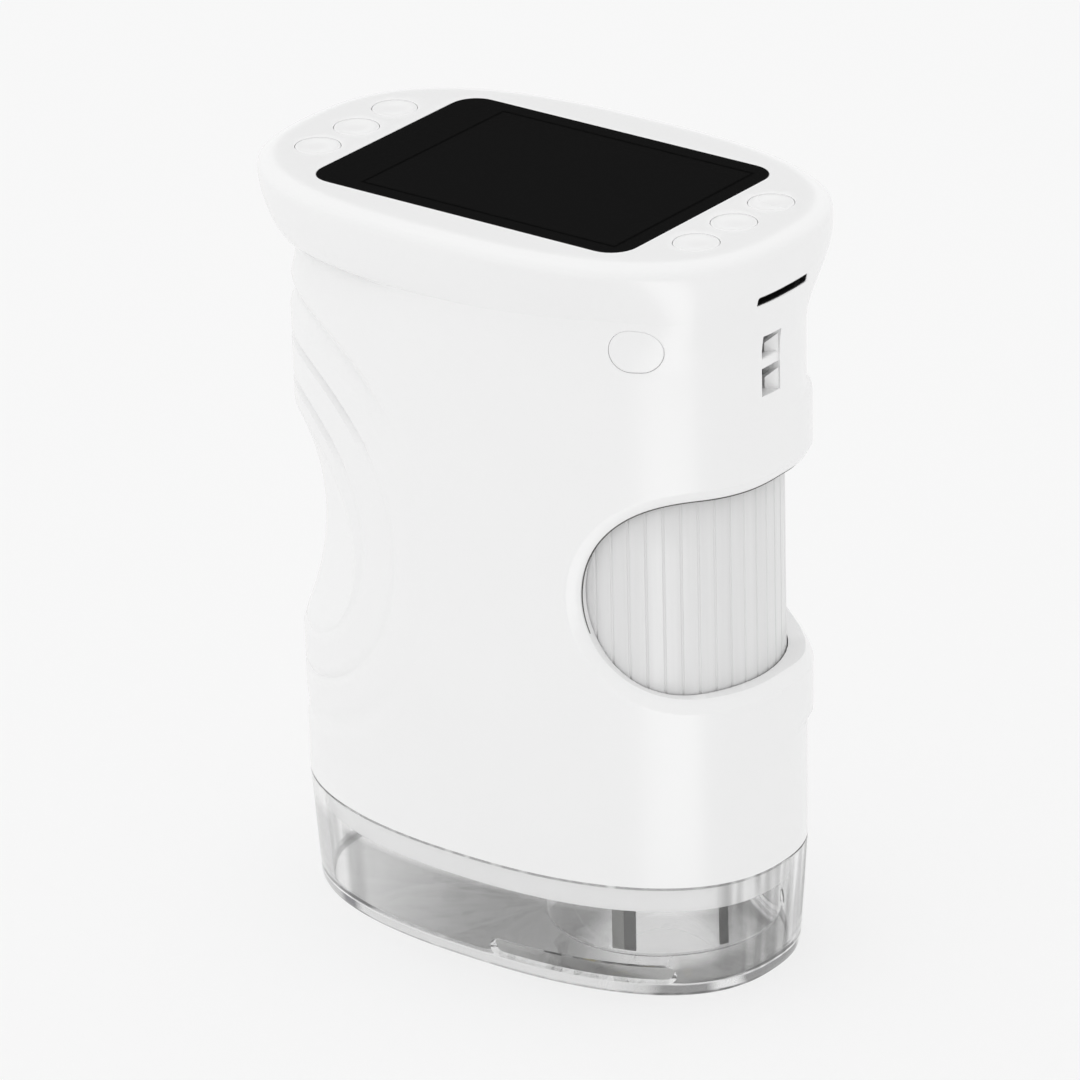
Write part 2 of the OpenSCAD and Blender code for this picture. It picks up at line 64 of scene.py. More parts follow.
GRIP = (-33.6, 55.3)           # middle of the grip's hollow, x and z
GRIP_R = 16.5
GRIP_DEPTH = 3.6
RIPPLE_MID = (-33.6, 57.0)
RIPPLES = ((18.0, 0.8, 1.5), (24.1, 0.8, 1.5), (30.2, 2.3, 1.0))   # radius, half width, depth
FOLD_DEPTH = 1.25
FOLD_LINE = 0.45
COLLAR_R = 24                  # raised collar behind the wheel
COLLAR_HEIGHT = 0.8

WINDOW = (33.6, 58.1)          # middle of the wheel opening, x and z
WINDOW_R = 14.2
BEVEL_W = 1.7
BEVEL_D = 0.9
SHADE_STRIP_COUNT = 77                # points of the opening's outline that the strip of painted shade follows
SHADE_STRIP_WEIGHTS = ((0, 1.0), (31, 0.85), (50, 0.5), (62, 0.35), (76, 0.02))   # point, share of the full width

GLASS = (51.0, 35.8)
GLASS_CORNER = 3.75
SCREEN = (40.8, 30.6)
SCREEN_AT = (2.55, 0.0)
BUTTON_ROW = 30.8
BUTTON_PITCH = 8.3
BUTTON_R = 3.05
SIDE_BUTTON = (7.2, 6.0)
SIDE_BUTTON_AT = (27.35, -17.0, 94.0)
SIDE_BUTTON_TURN = math.radians(-61.5)
SIDE_BUTTON_HOLE = 0.06        # how far the hole is larger than the nominal oval
SIDE_BUTTON_FACE = 0.03        # and the face

POCKET_Y = (-3.5, 0.2)         # lanyard opening
POCKET_Z = (85.3, 93.8)
LANYARD_BAR_Z = (89.0, 90.5)
CARD_Y = (-6.1, 4.5)
CARD_Z = (99.05, 100.25)
PORT = (8.9, 3.1, 99.35)       # length, height and z of the charging port
PORT_MOUTH = -38.7
TONGUE = (3.3, 0.35)           # half length and half height of the port's tongue

FOOT = (36.0, 20.4)
FOOT_POWER = 2.42
FOOT_ROUND = 1.5
FOOT_RUN = FOOT_ROUND * math.pi / 2
BASE_TOP = 16.98
BASE_WALL = 1.6
BASE_FILLET = 0.5
FILLET_TOP = 2.2
SLOT_X = (3.8, 29.8)
SLOT_Z = (2.2, 4.8)
VIEW_HOLE_R = 7.0
GRAIN = 0.25                   # texture of moulded plastic
GRAIN_DEPTH = 0.004
STREAK = 2.4                   # width of the painted streaks of the base, and of the breaks in its painted dark lines at the foot and the top

RIBS = 46
RIB_GROOVE = 0.15
WHEEL_R = 17.0
WHEEL_Z = (42.8, 73.4)
SLEEVE_R = 13.9                # inside of the ribbed sleeve
HUB_R = 14.0
HUB_END = 2.2
BORE_R = 12.05
STRIP_RING = (13.8, 14.12)     # inner and outer radius of the dark strips inside the light sleeve
LENS_WINDOW_R = 12.58

SHELL_SCREWS = ((-24, 84), (27, 84), (-24, 27), (0, 23))   # x and z
SCREW_SEAT = 4                 # depth of the screw's seat behind the plan of the seam
SCREW_HOLE_R = 2.3
WELL_R = 3.1
WELL_FLOOR = 0.8
PLATE_SCREWS = ((-26, 10.5), (-3, 15))                     # x and y, on both sides
PLATE_SCREW_Z = 13.2
BOARD_SCREWS = ((4, 13), (-12, 13))
BOARD_SCREW_Z = TOP - 4.85

FLOOR_R = 6000
FLAG_WAY = (-0.563, 0.741, 0.3662)   # from the object towards the black flag


# ---------------------------------------------------------------- shape of the skin

def signed_power(v, p):
    return np.sign(v) * np.abs(v) ** p


def mix(a, b, s):
    return a + (b - a) * s


def ramp(v):
    return np.clip(v, 0.0, 1.0)


def ease(v):
    u = ramp(v)
    return u * u * (3 - 2 * u)


def crease_z(t):
    """Height of the crease under the head at the plan angle t."""
    return TOP - CREASE_DROP + CREASE_SLOPE * BODY[0] * np.cos(t)


def swell(t, z):
    """0 on the body and 1 at the widest line of the head. Towards +X it starts softly."""
    mid = TOP - MID_DROP
    s = ramp((mid - z) / (mid - crease_z(t)))
    along = BODY[0] * np.cos(t)
    power = mix(1.5, 1.0, ease((along + 12) / 22))
    crisp = (1 - s ** power) ** (1 / power)
    soft = ease((z - TOP + 16) / 13)
    return mix(crisp, soft, ease((along - 20) / 14))


def rim_inset(z):
    """How far the rim has turned in at z."""
    s = ramp((z - TOP + MID_DROP) / MID_DROP)
    return RIM_ROUND * (1 - (1 - s ** RIM_POWER) ** (1 / RIM_POWER))


def relief(x, y, z):
    """How far the skin stands out from its plain form: grip, ripples, fold under the head, rear collar."""
    grip_r = np.hypot(x - GRIP[0], z - GRIP[1]) / GRIP_R
    grip = np.where((x < 0) & (grip_r < 1), GRIP_DEPTH * (1 - grip_r ** 2), 0)
    r = np.hypot(x - RIPPLE_MID[0], z - RIPPLE_MID[1])
    up = np.degrees(np.arctan2(z - RIPPLE_MID[1], x - RIPPLE_MID[0]))
    share = 0.12 + 0.88 * ease((up - 30) / 26) + 0.12 * ease((-up - 40) / 20)
    share = share * ease((3 - x) / 8) * (0.35 + 0.65 * ease((x + 37.8) / 4))
    ripple = sum(deep * (1 - ease(np.abs(r - ring) / half)) for ring, half, deep in RIPPLES)
    far = np.hypot(x - WINDOW[0], z - WINDOW[1])
    collar = COLLAR_HEIGHT * ramp((COLLAR_R - far) / 1.2) * ramp((x - 24) / 6) * ease((y - 1) / 8)
    over = z - TOP + CREASE_DROP + 0.2 - CREASE_SLOPE * x
    fold = FOLD_DEPTH * (1 - ease(np.abs(over) / np.where(over > 0, 1.0, 8.5))) * ease((-4 - x) / 22)
    fold = fold + FOLD_LINE * (1 - ease(np.abs(over + 0.3) / 0.55)) * ease((-2 - x) / 16)
    return collar - grip - share * ripple - fold


def half_size(axis, z, s):
    """Half length (axis 0) or half width (axis 1) of the plan at z, where s is the share of the head."""
    return mix(mix(SEAM[axis], BODY[axis], (z - SEAM_Z) / (TOP - SEAM_Z)), HEAD[axis], s)


def skin(t, z, push=0.0):
    """Points of the skin at the plan angles t and heights z, moved out by push."""
    t, z = np.broadcast_arrays(np.asarray(t, float), np.asarray(z, float))
    s = swell(t, z)
    a, b = [half_size(axis, z, s) - rim_inset(z) for axis in (0, 1)]
    n = mix(BODY_POWER, HEAD_POWER, s)
    x = a * signed_power(np.cos(t), 2 / n)
    y = b * signed_power(np.sin(t), 2 / n)
    gx = signed_power(x / a, n - 1) / a
    gy = signed_power(y / b, n - 1) / b
    size = np.hypot(gx, gy)
    out = relief(x, y, z) + push
    return np.stack([x + out * gx / size, y + out * gy / size, z], -1)


# Distance round the body, so that a flat pattern can be laid on the skin
turns = np.linspace(-math.pi, math.pi, 2881)
strides = np.linalg.norm(np.diff(skin(turns, 40.0)[:, :2], axis=0), axis=1)
around = np.concatenate([[0], np.cumsum(strides)])
around -= np.interp(0, turns, around)
ROUND = around[-1]


def turn_at(u):
    """Plan angle at the distance u round the body, from the middle of the +X end."""
    return np.interp(u, around, turns)


def span_at(t):
    """Distance round the body at the plan angle t."""
    return np.interp(t, turns, around)


def skin_depth(x):
    """Depth of the seam's plan at x."""
    return SEAM[1] * (1 - (abs(x) / SEAM[0]) ** BODY_POWER) ** (1 / BODY_POWER)


def turn_at_x(x, z, side):
    """Plan angle of the skin at x and z, on the front (side -1) or the rear (side 1)."""
    s = swell(np.arccos(np.clip(x / BODY[0], -1, 1)), z)
    n = mix(BODY_POWER, HEAD_POWER, s)
    return side * np.arccos(np.clip(signed_power(x / half_size(0, z, s), n / 2), -1, 1))


def turn_at_y(y, z):
    """Plan angle of the skin at y and z, at the +X end."""
    s = swell(0.0, z)
    n = mix(BODY_POWER, HEAD_POWER, s)
    return np.arcsin(signed_power(y / half_size(1, z, s), n / 2))


# ---------------------------------------------------------------- meshes

def new_piece(name, points, faces, smooth=35):
    """Object with that mesh, points in millimetres, shaded smooth with sharp edges past an angle."""
    mesh = bpy.data.meshes.new(name)
    corners = [tuple(p) for p in np.asarray(points, float) * MM]
    mesh.from_pydata(corners, [], [list(map(int, f)) for f in faces])
    mesh.validate()
    mesh.shade_smooth()
    mesh.set_sharp_from_angle(angle=math.radians(smooth))
    piece = bpy.data.objects.new(name, mesh)
    bpy.context.scene.collection.objects.link(piece)
    return piece


def search_tree(points):
    """Tree of flat or solid points."""
    tree = KDTree(len(points))
    for i, p in enumerate(points):
        tree.insert((*p, 0)[:3], i)
    tree.balance()
    return tree


def far_from(points, others):
    """Distance of each flat point to the nearest of the others."""
    tree = search_tree(others)
    return np.array([tree.find((p[0], p[1], 0))[2] for p in points])


def merge(parts, reach=1e-4):
    """Points and faces of several (points, faces) pairs as one pair, with close points welded."""
    points = np.concatenate([np.asarray(p, float).reshape(-1, 3) for p, _ in parts])
    faces, start = [], 0
    for p, f in parts:
        faces += [[i + start for i in face] for face in f]
        start += len(p)
    tree = search_tree(points)
    owner = np.arange(len(points))
    for i, p in enumerate(points):
        if owner[i] == i:
            for _, j, _ in tree.find_range(p, reach):
                if j > i and owner[j] == j:
                    owner[j] = i
    keep = np.unique(owner)
    number = np.zeros(len(points), int)
    number[keep] = np.arange(len(keep))
    number = number[owner]
    welded = []
    for face in faces:
        loop = [int(number[i]) for i in face]
        loop = [v for k, v in enumerate(loop) if v != loop[k - 1]]
        if len(loop) > 2:
            welded.append(loop)
    return points[keep], welded


def level(points, height):
    """The points with that height, or those heights, as a further coordinate."""
    return np.column_stack([points, np.broadcast_to(height, len(points))])


def inside(points, loop):
    """Which of the flat points lie inside the closed flat loop."""
    x, y = points[:, 0], points[:, 1]
    found = np.zeros(len(points), bool)
    for (x0, y0), (x1, y1) in zip(loop, np.roll(loop, -1, axis=0)):
        crosses = (y0 > y) != (y1 > y)
        with np.errstate(divide="ignore", invalid="ignore"):
            found ^= crosses & (x < (x1 - x0) * (y - y0) / (y1 - y0) + x0)
    return found


def flat_patch(outer, holes=(), lines=(), step=0.8):
    """Triangles that fill the closed flat loop outer around the holes. Lines are loops or
    open runs that edges must follow. Returns flat points and faces, wound anticlockwise."""
    loops = [np.asarray(outer, float)] + [np.asarray(h, float) for h in holes]
    runs = [(loop, True) for loop in loops] + [(np.asarray(r, float), shut) for r, shut in lines]
    points, edges = [], []
    for run, shut in runs:
        start = len(points)
        points += run.tolist()
        count = len(run)
        edges += [(start + i, start + (i + 1) % count) for i in range(count if shut else count - 1)]

    def filled(flat):
        """Those of the flat points that lie in the outline and in none of the holes."""
        return inside(flat, loops[0]) & ~np.any([inside(flat, hole) for hole in loops[1:]], axis=0)

    low, high = loops[0].min(0), loops[0].max(0)
    grid = np.concatenate([
        level(np.arange(low[0] + step * (0.25 + 0.5 * (k % 2)), high[0], step), row)
        for k, row in enumerate(np.arange(low[1] + step * 0.5, high[1], step * 0.866))])
    grid = grid[filled(grid)]
    points += grid[far_from(grid, points) > 0.45 * step].tolist()
    done, _, faces, _, _, _ = delaunay_2d_cdt([Vector(p) for p in points], edges, [], 0, 1e-5)
    done = np.array([tuple(p) for p in done])
    faces = np.array([list(f) for f in faces])
    faces = faces[filled(done[faces].mean(1))]
    a, b, c = done[faces[:, 0]], done[faces[:, 1]], done[faces[:, 2]]
    wrong = (b[:, 0] - a[:, 0]) * (c[:, 1] - a[:, 1]) - (b[:, 1] - a[:, 1]) * (c[:, 0] - a[:, 0]) < 0
    faces[wrong] = faces[wrong][:, ::-1]
    used = np.unique(faces)
    number = np.full(len(done), -1)
    number[used] = np.arange(len(used))
    return done[used], number[faces]


def open_edges(faces):
    """Directed edges that only one face has."""
    seen = dict.fromkeys((face[i - 1], v) for face in faces for i, v in enumerate(face))
    return [(a, b) for a, b in seen if (b, a) not in seen]


def walled(outer, inner, faces):
    """Closed solid between two sheets that share faces, with walls along their open edges."""
    count = len(outer)
    faces = [list(map(int, f)) for f in faces]
    backs = [[i + count for i in reversed(f)] for f in faces]
    walls = [[b, a, a + count, b + count] for a, b in open_edges(faces)]
    return np.concatenate([outer, inner]), faces + backs + walls


def round_off(points, loops, width, depth):
    """How far each flat point sinks when the edges along the loops are rounded."""
    samples = []
    for loop in loops:
        loop = np.asarray(loop, float)
        for p, q in zip(loop, np.roll(loop, -1, axis=0)):
            count = max(1, int(np.linalg.norm(q - p) / (width * 0.12)))
            samples += [p + (q - p) * i / count for i in range(count)]
    share = ramp(1 - far_from(points, samples) / width)
    return depth * (1 - np.sqrt(1 - share ** 2))


def chamfer(points, run, width, depth):
    """How far each flat point sinks in a flat chamfer along the run of points."""
    samples = [a + (b - a) * i / 6 for a, b in zip(run, [*run[1:], run[-1]]) for i in range(6)]
    return depth * ramp(1 - far_from(points, samples) / width)


def grown(loop, by):
    """The closed flat loop moved outwards by that distance."""
    loop = np.asarray(loop, float)
    ahead, behind = np.roll(loop, -1, axis=0) - loop, loop - np.roll(loop, 1, axis=0)
    ahead /= np.linalg.norm(ahead, axis=1)[:, None] + 1e-12
    behind /= np.linalg.norm(behind, axis=1)[:, None] + 1e-12
    along = ahead + behind
    along /= np.linalg.norm(along, axis=1)[:, None] + 1e-12
    area = np.sum(loop[:, 0] * np.roll(loop[:, 1], -1) - loop[:, 1] * np.roll(loop[:, 0], -1))
    side = 1 if area > 0 else -1
    return loop + side * by * np.stack([along[:, 1], -along[:, 0]], -1)


def oval(a, b, n, steps):
    """Superellipse of the power n."""
    t = np.linspace(0, 2 * math.pi, steps, endpoint=False)
    return np.stack([a * signed_power(np.cos(t), 2 / n), b * signed_power(np.sin(t), 2 / n)], -1)


def circle(x, y, r, steps):
    t = np.linspace(0, 2 * math.pi, steps, endpoint=False)
    return np.stack([x + r * np.cos(t), y + r * np.sin(t)], -1)


def rounded_box(x0, x1, y0, y1, r, step=0.4):
    """Closed loop of a rectangle with round corners."""
    loop = []
    corners = [(x1 - r, y1 - r, 0), (x0 + r, y1 - r, 90), (x0 + r, y0 + r, 180), (x1 - r, y0 + r, 270)]
    count = max(3, int(r * 1.57 / step))
    for x, y, start in corners:
        for i in range(count + 1):
            a = math.radians(start + 90 * i / count)
            loop.append((x + r * math.cos(a), y + r * math.sin(a)))
    dense = []
    for p, q in zip(loop, loop[1:] + loop[:1]):
        parts = max(1, int(math.dist(p, q) / step))
        dense += [(p[0] + (q[0] - p[0]) * i / parts, p[1] + (q[1] - p[1]) * i / parts) for i in range(parts)]
    return np.array(dense)


def lofted(rings, closed=False):
    """Quads between successive rings of equal length; closed joins the last ring to the first."""
    count = len(rings[0])
    faces = []
    for k in range(len(rings) if closed else len(rings) - 1):
        low, high = k * count, ((k + 1) % len(rings)) * count
        faces += [[low + i, low + (i + 1) % count, high + (i + 1) % count, high + i] for i in range(count)]
    return np.concatenate(rings), faces


def lathe(profile, x, y, steps, closed=True):
    """Ring solid about an upright axis from a profile of (radius, z), wound to face outwards."""
    return lofted([level(circle(x, y, r, steps), z) for r, z in profile], closed)


def at_x(x, loop):
    """The flat loop stood up in Y and Z, at that x or those x."""
    return np.column_stack([np.broadcast_to(x, len(loop)), loop])


def evened(loops):
    """The loops with as many points each as the shortest."""
    count = min(map(len, loops))
    return [loop[np.linspace(0, len(loop) - 1, count).round().astype(int)] for loop in loops]


def capped(rings):
    """Closed solid of lofted rings with a fan over each end, the first ring at the bottom."""
    points, faces = lofted(rings)
    count = len(rings[0])
    low, high = len(points), len(points) + 1
    points = np.concatenate([points, [rings[0].mean(0)], [rings[-1].mean(0)]])
    last = (len(rings) - 1) * count
    for i in range(count):
        j = (i + 1) % count
        faces += [[low, j, i], [high, last + i, last + j]]
    return points, faces


def outward(points, faces):
    """The same closed solid with its faces turned to the outside."""
    points = np.asarray(points, float)
    volume = sum(np.dot(points[f[0]], np.cross(points[f[i]], points[f[i + 1]]))
                 for f in faces for i in range(1, len(f) - 1))
    return points, faces if volume > 0 else [f[::-1] for f in faces]


# ---------------------------------------------------------------- materials

def colour(code):
    """Linear RGBA of a hex sRGB colour."""
    channels = [int(code[i:i + 2], 16) / 255 for i in (1, 3, 5)]
    return [c / 12.92 if c <= 0.04045 else ((c + 0.055) / 1.055) ** 2.4 for c in channels] + [1.0]


def feed(tree, node, inputs):
    """Gives the node its inputs: a socket is linked, a hex colour is turned to linear, a value is set."""
    for key, value in inputs.items():
        if isinstance(value, bpy.types.NodeSocket):
            tree.links.new(value, node.inputs[key])
        else:
            node.inputs[key].default_value = colour(value) if isinstance(value, str) else value


def add_node(tree, kind, settings=None, inputs=None):
    """Node with those settings and inputs."""
    made = tree.nodes.new(kind)
    for key, value in (settings or {}).items():
        setattr(made, key, value)
    feed(tree, made, inputs or {})
    return made


def start_material(name, values):
    """Material with one Principled shader whose uniform values are set on its own sockets."""
    material = bpy.data.materials.new(name)
    material.use_nodes = True
    tree = material.node_tree
    tree.nodes.clear()
    shader = add_node(tree, "ShaderNodeBsdfPrincipled", inputs=values)
    add_node(tree, "ShaderNodeOutputMaterial", inputs={"Surface": shader.outputs["BSDF"]})
    place = add_node(tree, "ShaderNodeTexCoord").outputs["Object"]
    return material, tree, shader, place


def moulded(name, pale, dark, roughness, cloud_mm=18, long=1, ior=1.5):
    """Moulded plastic: the fine texture of the mould, a faint cloudiness, drawn out in Z where it is long,
    and uneven gloss. The real texture is finer than 0.1 mm and is drawn coarser, so that it shows."""
    material, tree, shader, place = start_material(name, {"IOR": ior})
    drawn = add_node(tree, "ShaderNodeMapping", inputs={"Vector": place, "Scale": (1.0, 1.0, 1 / long)})
    cloud = add_node(tree, "ShaderNodeTexNoise", inputs={
        "Vector": drawn.outputs["Vector"], "Scale": 1 / (cloud_mm * MM), "Detail": 3.0})
    blend = add_node(tree, "ShaderNodeMix", {"data_type": "RGBA"}, {
        "Factor": cloud.outputs["Fac"], 6: pale, 7: dark})
    grain = add_node(tree, "ShaderNodeTexNoise", inputs={
        "Vector": place, "Scale": 1 / (GRAIN * MM), "Detail": 2.0})
    gloss = add_node(tree, "ShaderNodeMapRange", inputs={
        "Value": cloud.outputs["Fac"], "To Min": roughness - 0.03, "To Max": roughness + 0.03})
    bump = add_node(tree, "ShaderNodeBump", inputs={
        "Height": grain.outputs["Fac"], "Strength": 0.6, "Distance": GRAIN_DEPTH * MM})
    feed(tree, shader, {"Base Color": blend.outputs[2], "Roughness": gloss.outputs["Result"],
                        "Normal": bump.outputs["Normal"]})
    return material


def lead_out(tree, source):
    """Links that shader to the material's output."""
    out = next(n for n in tree.nodes if n.type == "OUTPUT_MATERIAL")
    feed(tree, out, {"Surface": source})


def let_light_through(tree, shader, tint):
    """Mixes in a transparent shader for shadow and diffuse rays, so that clear parts don't block light."""
    path = add_node(tree, "ShaderNodeLightPath").outputs
    soft = add_node(tree, "ShaderNodeMath", {"operation": "MAXIMUM"}, {
        0: path["Is Shadow Ray"], 1: path["Is Diffuse Ray"]})
    open_air = add_node(tree, "ShaderNodeBsdfTransparent", inputs={"Color": tint})
    both = add_node(tree, "ShaderNodeMixShader", inputs={
        0: soft.outputs[0], 1: shader.outputs["BSDF"], 2: open_air.outputs["BSDF"]})
    lead_out(tree, both.outputs["Shader"])


def base_colour(tree, place, tint):
    """Colour of the base, with light and shade painted into its tint: ends with painted streaks, walls below
    the lip painted in light and dark bands with painted highlights, a floor painted darker as shade round the
    viewing hole and darkest along the long sides on the right, and broken dark lines of painted shade along
    the foot's edge and the top edge."""
    sized = add_node(tree, "ShaderNodeVectorMath", {"operation": "SCALE"}, {0: place, "Scale": 1 / MM})
    x, y, z = add_node(tree, "ShaderNodeSeparateXYZ", inputs={0: sized.outputs[0]}).outputs
    wide, deep = [add_node(tree, "ShaderNodeMath", {"operation": "ABSOLUTE"}, {0: side}).outputs[0]
                  for side in (x, y)]
    hole = add_node(tree, "ShaderNodeVectorMath", {"operation": "DISTANCE"}, {
        0: sized.outputs[0], 1: (AXIS_X, 0, 0)}).outputs["Value"]
    drawn = add_node(tree, "ShaderNodeMapping", inputs={"Vector": place, "Scale": (1.0, 1.0, 0.0)})
    noise = add_node(tree, "ShaderNodeTexNoise", inputs={
        "Vector": drawn.outputs["Vector"], "Scale": 1 / (STREAK * MM), "Detail": 1.0}).outputs["Fac"]

    # The plan of the foot: 0 on the middle line and 1 on the outline
    powers = []
    for size, half in ((wide, FOOT[0]), (deep, FOOT[1])):
        for operation, amount in (("DIVIDE", half), ("POWER", FOOT_POWER)):
            size = add_node(tree, "ShaderNodeMath", {"operation": operation}, {0: size, 1: amount}).outputs[0]
        powers.append(size)
    plan = add_node(tree, "ShaderNodeMath", {"operation": "ADD"}, dict(enumerate(powers))).outputs[0]

    # Each share rises smoothly from 0 at the first value to 1 at the second, lengths in millimetres
    share = {}
    for name, source, low, high in (
            ("past painted shade", hole, 23, 45), ("on disc", hole, 13, 8), ("front strip", deep, 12, 14.5),
            ("right half", x, 0, 16), ("long side", deep, 6, 9), ("below lip", z, 13, 12.4),
            ("at ends", wide, 31, 34), ("ends' middle", deep, 11, 8), ("streaks", noise, 0.42, 0.6),
            ("in plan", plan, 0.99, 0.93), ("in floor", z, 1.85, 1.65), ("on edge", plan, 0.86, 0.9),
            ("on sole", z, 2.3, 2), ("on ground", z, 1.1, 0.8), ("foot breaks", noise, 0.22, 0.6),
            ("foot side", deep, 7, 10), ("foot right", x, 20, 25), ("top edge", z, 16.55, 16.7),
            ("top breaks", noise, 0.2, 0.55)):
        share[name] = add_node(tree, "ShaderNodeMapRange", {"interpolation_type": "SMOOTHSTEP"}, {
            "Value": source, "From Min": low, "From Max": high}).outputs["Result"]
    share["foot side"] = add_node(tree, "ShaderNodeMath", {"operation": "MAXIMUM"}, {
        0: share["foot side"], 1: share["foot right"]}).outputs[0]

    # Painted light and shade along the length, as stops of (x, colour): bands and highlights on the walls,
    # the painted dark line along the foot's edge, darkest at the ends, and dark and light patches painted on
    # the sole
    shown = {}
    along = add_node(tree, "ShaderNodeMapRange", inputs={"Value": x, "From Min": -40, "From Max": 40})
    for name, stops in (
            ("wall", ((-27, "#D4D4D4"), (-25, "#F8F8F8"), (-23, "#F8F8F8"), (-21.6, "#C8C8C8"),
                      (-19.6, "#C8C8C8"), (-18, "#DCDCDC"), (0, "#D6D6D6"), (20, "#DADADA"), (24, "#E9E9E9"),
                      (31, "#E9E9E9"), (34, "#DCDCDC"))),
            ("rim", ((-19, "#262626"), (-17, "#A0A0A0"), (23, "#A0A0A0"), (26, "#262626"))),
            ("sole", ((-34, "#8E8E8E"), (-25, "#9A9A9A"), (-23.6, "#3C3C40"), (-21.4, "#3C3C40"),
                      (-19.5, "#C4C4C4"), (0, "#CCCCCC"), (22, "#D4D4D4"), (26, "#B4B4B4"), (28, "#5C5C5C"),
                      (32.6, "#5C5C5C"), (33.6, "#E4E4E4"), (34.8, "#E4E4E4"), (35.3, "#565656")))):
        tones = add_node(tree, "ShaderNodeValToRGB", inputs={"Fac": along.outputs["Result"]})
        elements = tones.color_ramp.elements
        for at, code in stops:
            elements.new((at + 40) / 80).color = colour(code)
        elements.remove(elements[0])
        elements.remove(elements[-1])
        shown[name] = tones.outputs["Color"]

    # Layers over a first colour: each is a colour or an earlier result, and the shares that cover with it
    for name, below, layers in (
            # floor: painted shade, dark in a wide ring round the viewing hole, lighter beyond it and over the
            # hole, darkest along the long sides on the right
            ("floor", "#8A8A89", (("#E8E8E8", "past painted shade"), ("#F4F4F4", "on disc"),
                                  ("#4C4C4B", "front strip", "right half"))),
            # base: painted light and shade over the tint: wall bands and highlights, streaks at the ends, the
            # floor, sole patches, and broken dark lines of painted shade along the foot's edge and the top
            # edge
            ("base", tint, (("wall", "long side", "below lip"),
                            ("#B8B8B8", "at ends", "ends' middle", "streaks"),
                            ("floor", "in plan", "in floor"), ("sole", "on sole", "on edge"),
                            ("rim", "on ground", "on edge", "foot breaks", "foot side"),
                            ("#8A8A8A", "top edge", "top breaks")))):
        for above, first, *others in layers:
            cover = share[first]
            for other in others:
                cover = add_node(tree, "ShaderNodeMath", {"operation": "MULTIPLY"}, {
                    0: cover, 1: share[other]}).outputs[0]
            below = add_node(tree, "ShaderNodeMix", {"data_type": "RGBA"}, {
                "Factor": cover, 6: below, 7: shown.get(above, above)}).outputs[2]
        shown[name] = below
    return shown["base"]


def clear_plastic(name, tint, painted_shade=False):
    """Clear moulded acrylic with faint flow waves."""
    material, tree, shader, place = start_material(name, {
        "IOR": 1.49, "Transmission Weight": 1.0, "Roughness": 0.02, "Base Color": tint})
    wave = add_node(tree, "ShaderNodeTexNoise", inputs={
        "Vector": place, "Scale": 1 / (9 * MM), "Detail": 1.0})
    bump = add_node(tree, "ShaderNodeBump", inputs={
        "Height": wave.outputs["Fac"], "Strength": 0.25, "Distance": 0.02 * MM})
    feed(tree, shader, {"Normal": bump.outputs["Normal"]})
    # For the base: light and shade painted into its colour
    if painted_shade:
        feed(tree, shader, {"Base Color": base_colour(tree, place, tint)})
    let_light_through(tree, shader, "#FFFFFF")
    return material


def screen_glass(name):
    """Black-backed cover glass; the display's own area shows as a slightly paler rectangle, with a thin black
    line of painted shade round it for the shaded gap round the recessed display.
    """
    material, tree, shader, place = start_material(name, {
        "IOR": 1.52, "Roughness": 0.06, "Specular IOR Level": 0.2})
    parts = add_node(tree, "ShaderNodeSeparateXYZ", inputs={"Vector": place})
    past = []
    for side, middle, size in zip(parts.outputs, SCREEN_AT, SCREEN):
        for operation, amount in (("SUBTRACT", middle * MM), ("ABSOLUTE", 0.0), ("SUBTRACT", size / 2 * MM)):
            side = add_node(tree, "ShaderNodeMath", {"operation": operation}, {0: side, 1: amount}).outputs[0]
        past.append(side)
    edge = add_node(tree, "ShaderNodeMath", {"operation": "MAXIMUM"}, dict(enumerate(past)))
    band = add_node(tree, "ShaderNodeMapRange", inputs={
        "Value": edge.outputs[0], "From Min": -0.15 * MM, "From Max": 0.15 * MM})
    line = add_node(tree, "ShaderNodeMath", {"operation": "ABSOLUTE"}, {0: edge.outputs[0]})
    thin = add_node(tree, "ShaderNodeMapRange", inputs={
        "Value": line.outputs[0], "From Min": 0.0, "From Max": 0.3 * MM})
    area = add_node(tree, "ShaderNodeMix", {"data_type": "RGBA"}, {
        "Factor": band.outputs["Result"], 6: "#141414", 7: "#131313"})
    # Thin black line of painted shade along the edge of the display's area
    seam = add_node(tree, "ShaderNodeMix", {"data_type": "RGBA"}, {
        "Factor": thin.outputs["Result"], 6: "#000000", 7: area.outputs[2]})
    feed(tree, shader, {"Base Color": seam.outputs[2]})
    return material


def metal(name, tint, roughness):
    """Rolled or turned metal with a fine directional grain, drawn coarser than it is so that it shows."""
    material, tree, shader, place = start_material(name, {"Metallic": 1.0, "Base Color": tint})
    stretch = add_node(tree, "ShaderNodeMapping", inputs={"Vector": place, "Scale": (1.0, 1.0, 9.0)})
    grain = add_node(tree, "ShaderNodeTexNoise", inputs={
        "Vector": stretch.outputs["Vector"], "Scale": 1 / (0.4 * MM), "Detail": 3.0})
    gloss = add_node(tree, "ShaderNodeMapRange", inputs={
        "Value": grain.outputs["Fac"], "To Min": roughness - 0.08, "To Max": roughness + 0.08})
    feed(tree, shader, {"Roughness": gloss.outputs["Result"]})
    return material


def solder_mask(name, mask, track):
    """Circuit board: lacquer over faint tracks on a 1.27 mm pitch."""
    material, tree, shader, place = start_material(name, {"Roughness": 0.35})
    cells = add_node(tree, "ShaderNodeTexBrick", {"offset": 0.5}, {
        "Vector": place, "Color1": mask, "Color2": mask, "Mortar": track, "Scale": 1 / (2.54 * MM),
        "Mortar Size": 0.06})
    feed(tree, shader, {"Base Color": cells.outputs["Color"]})
    return material


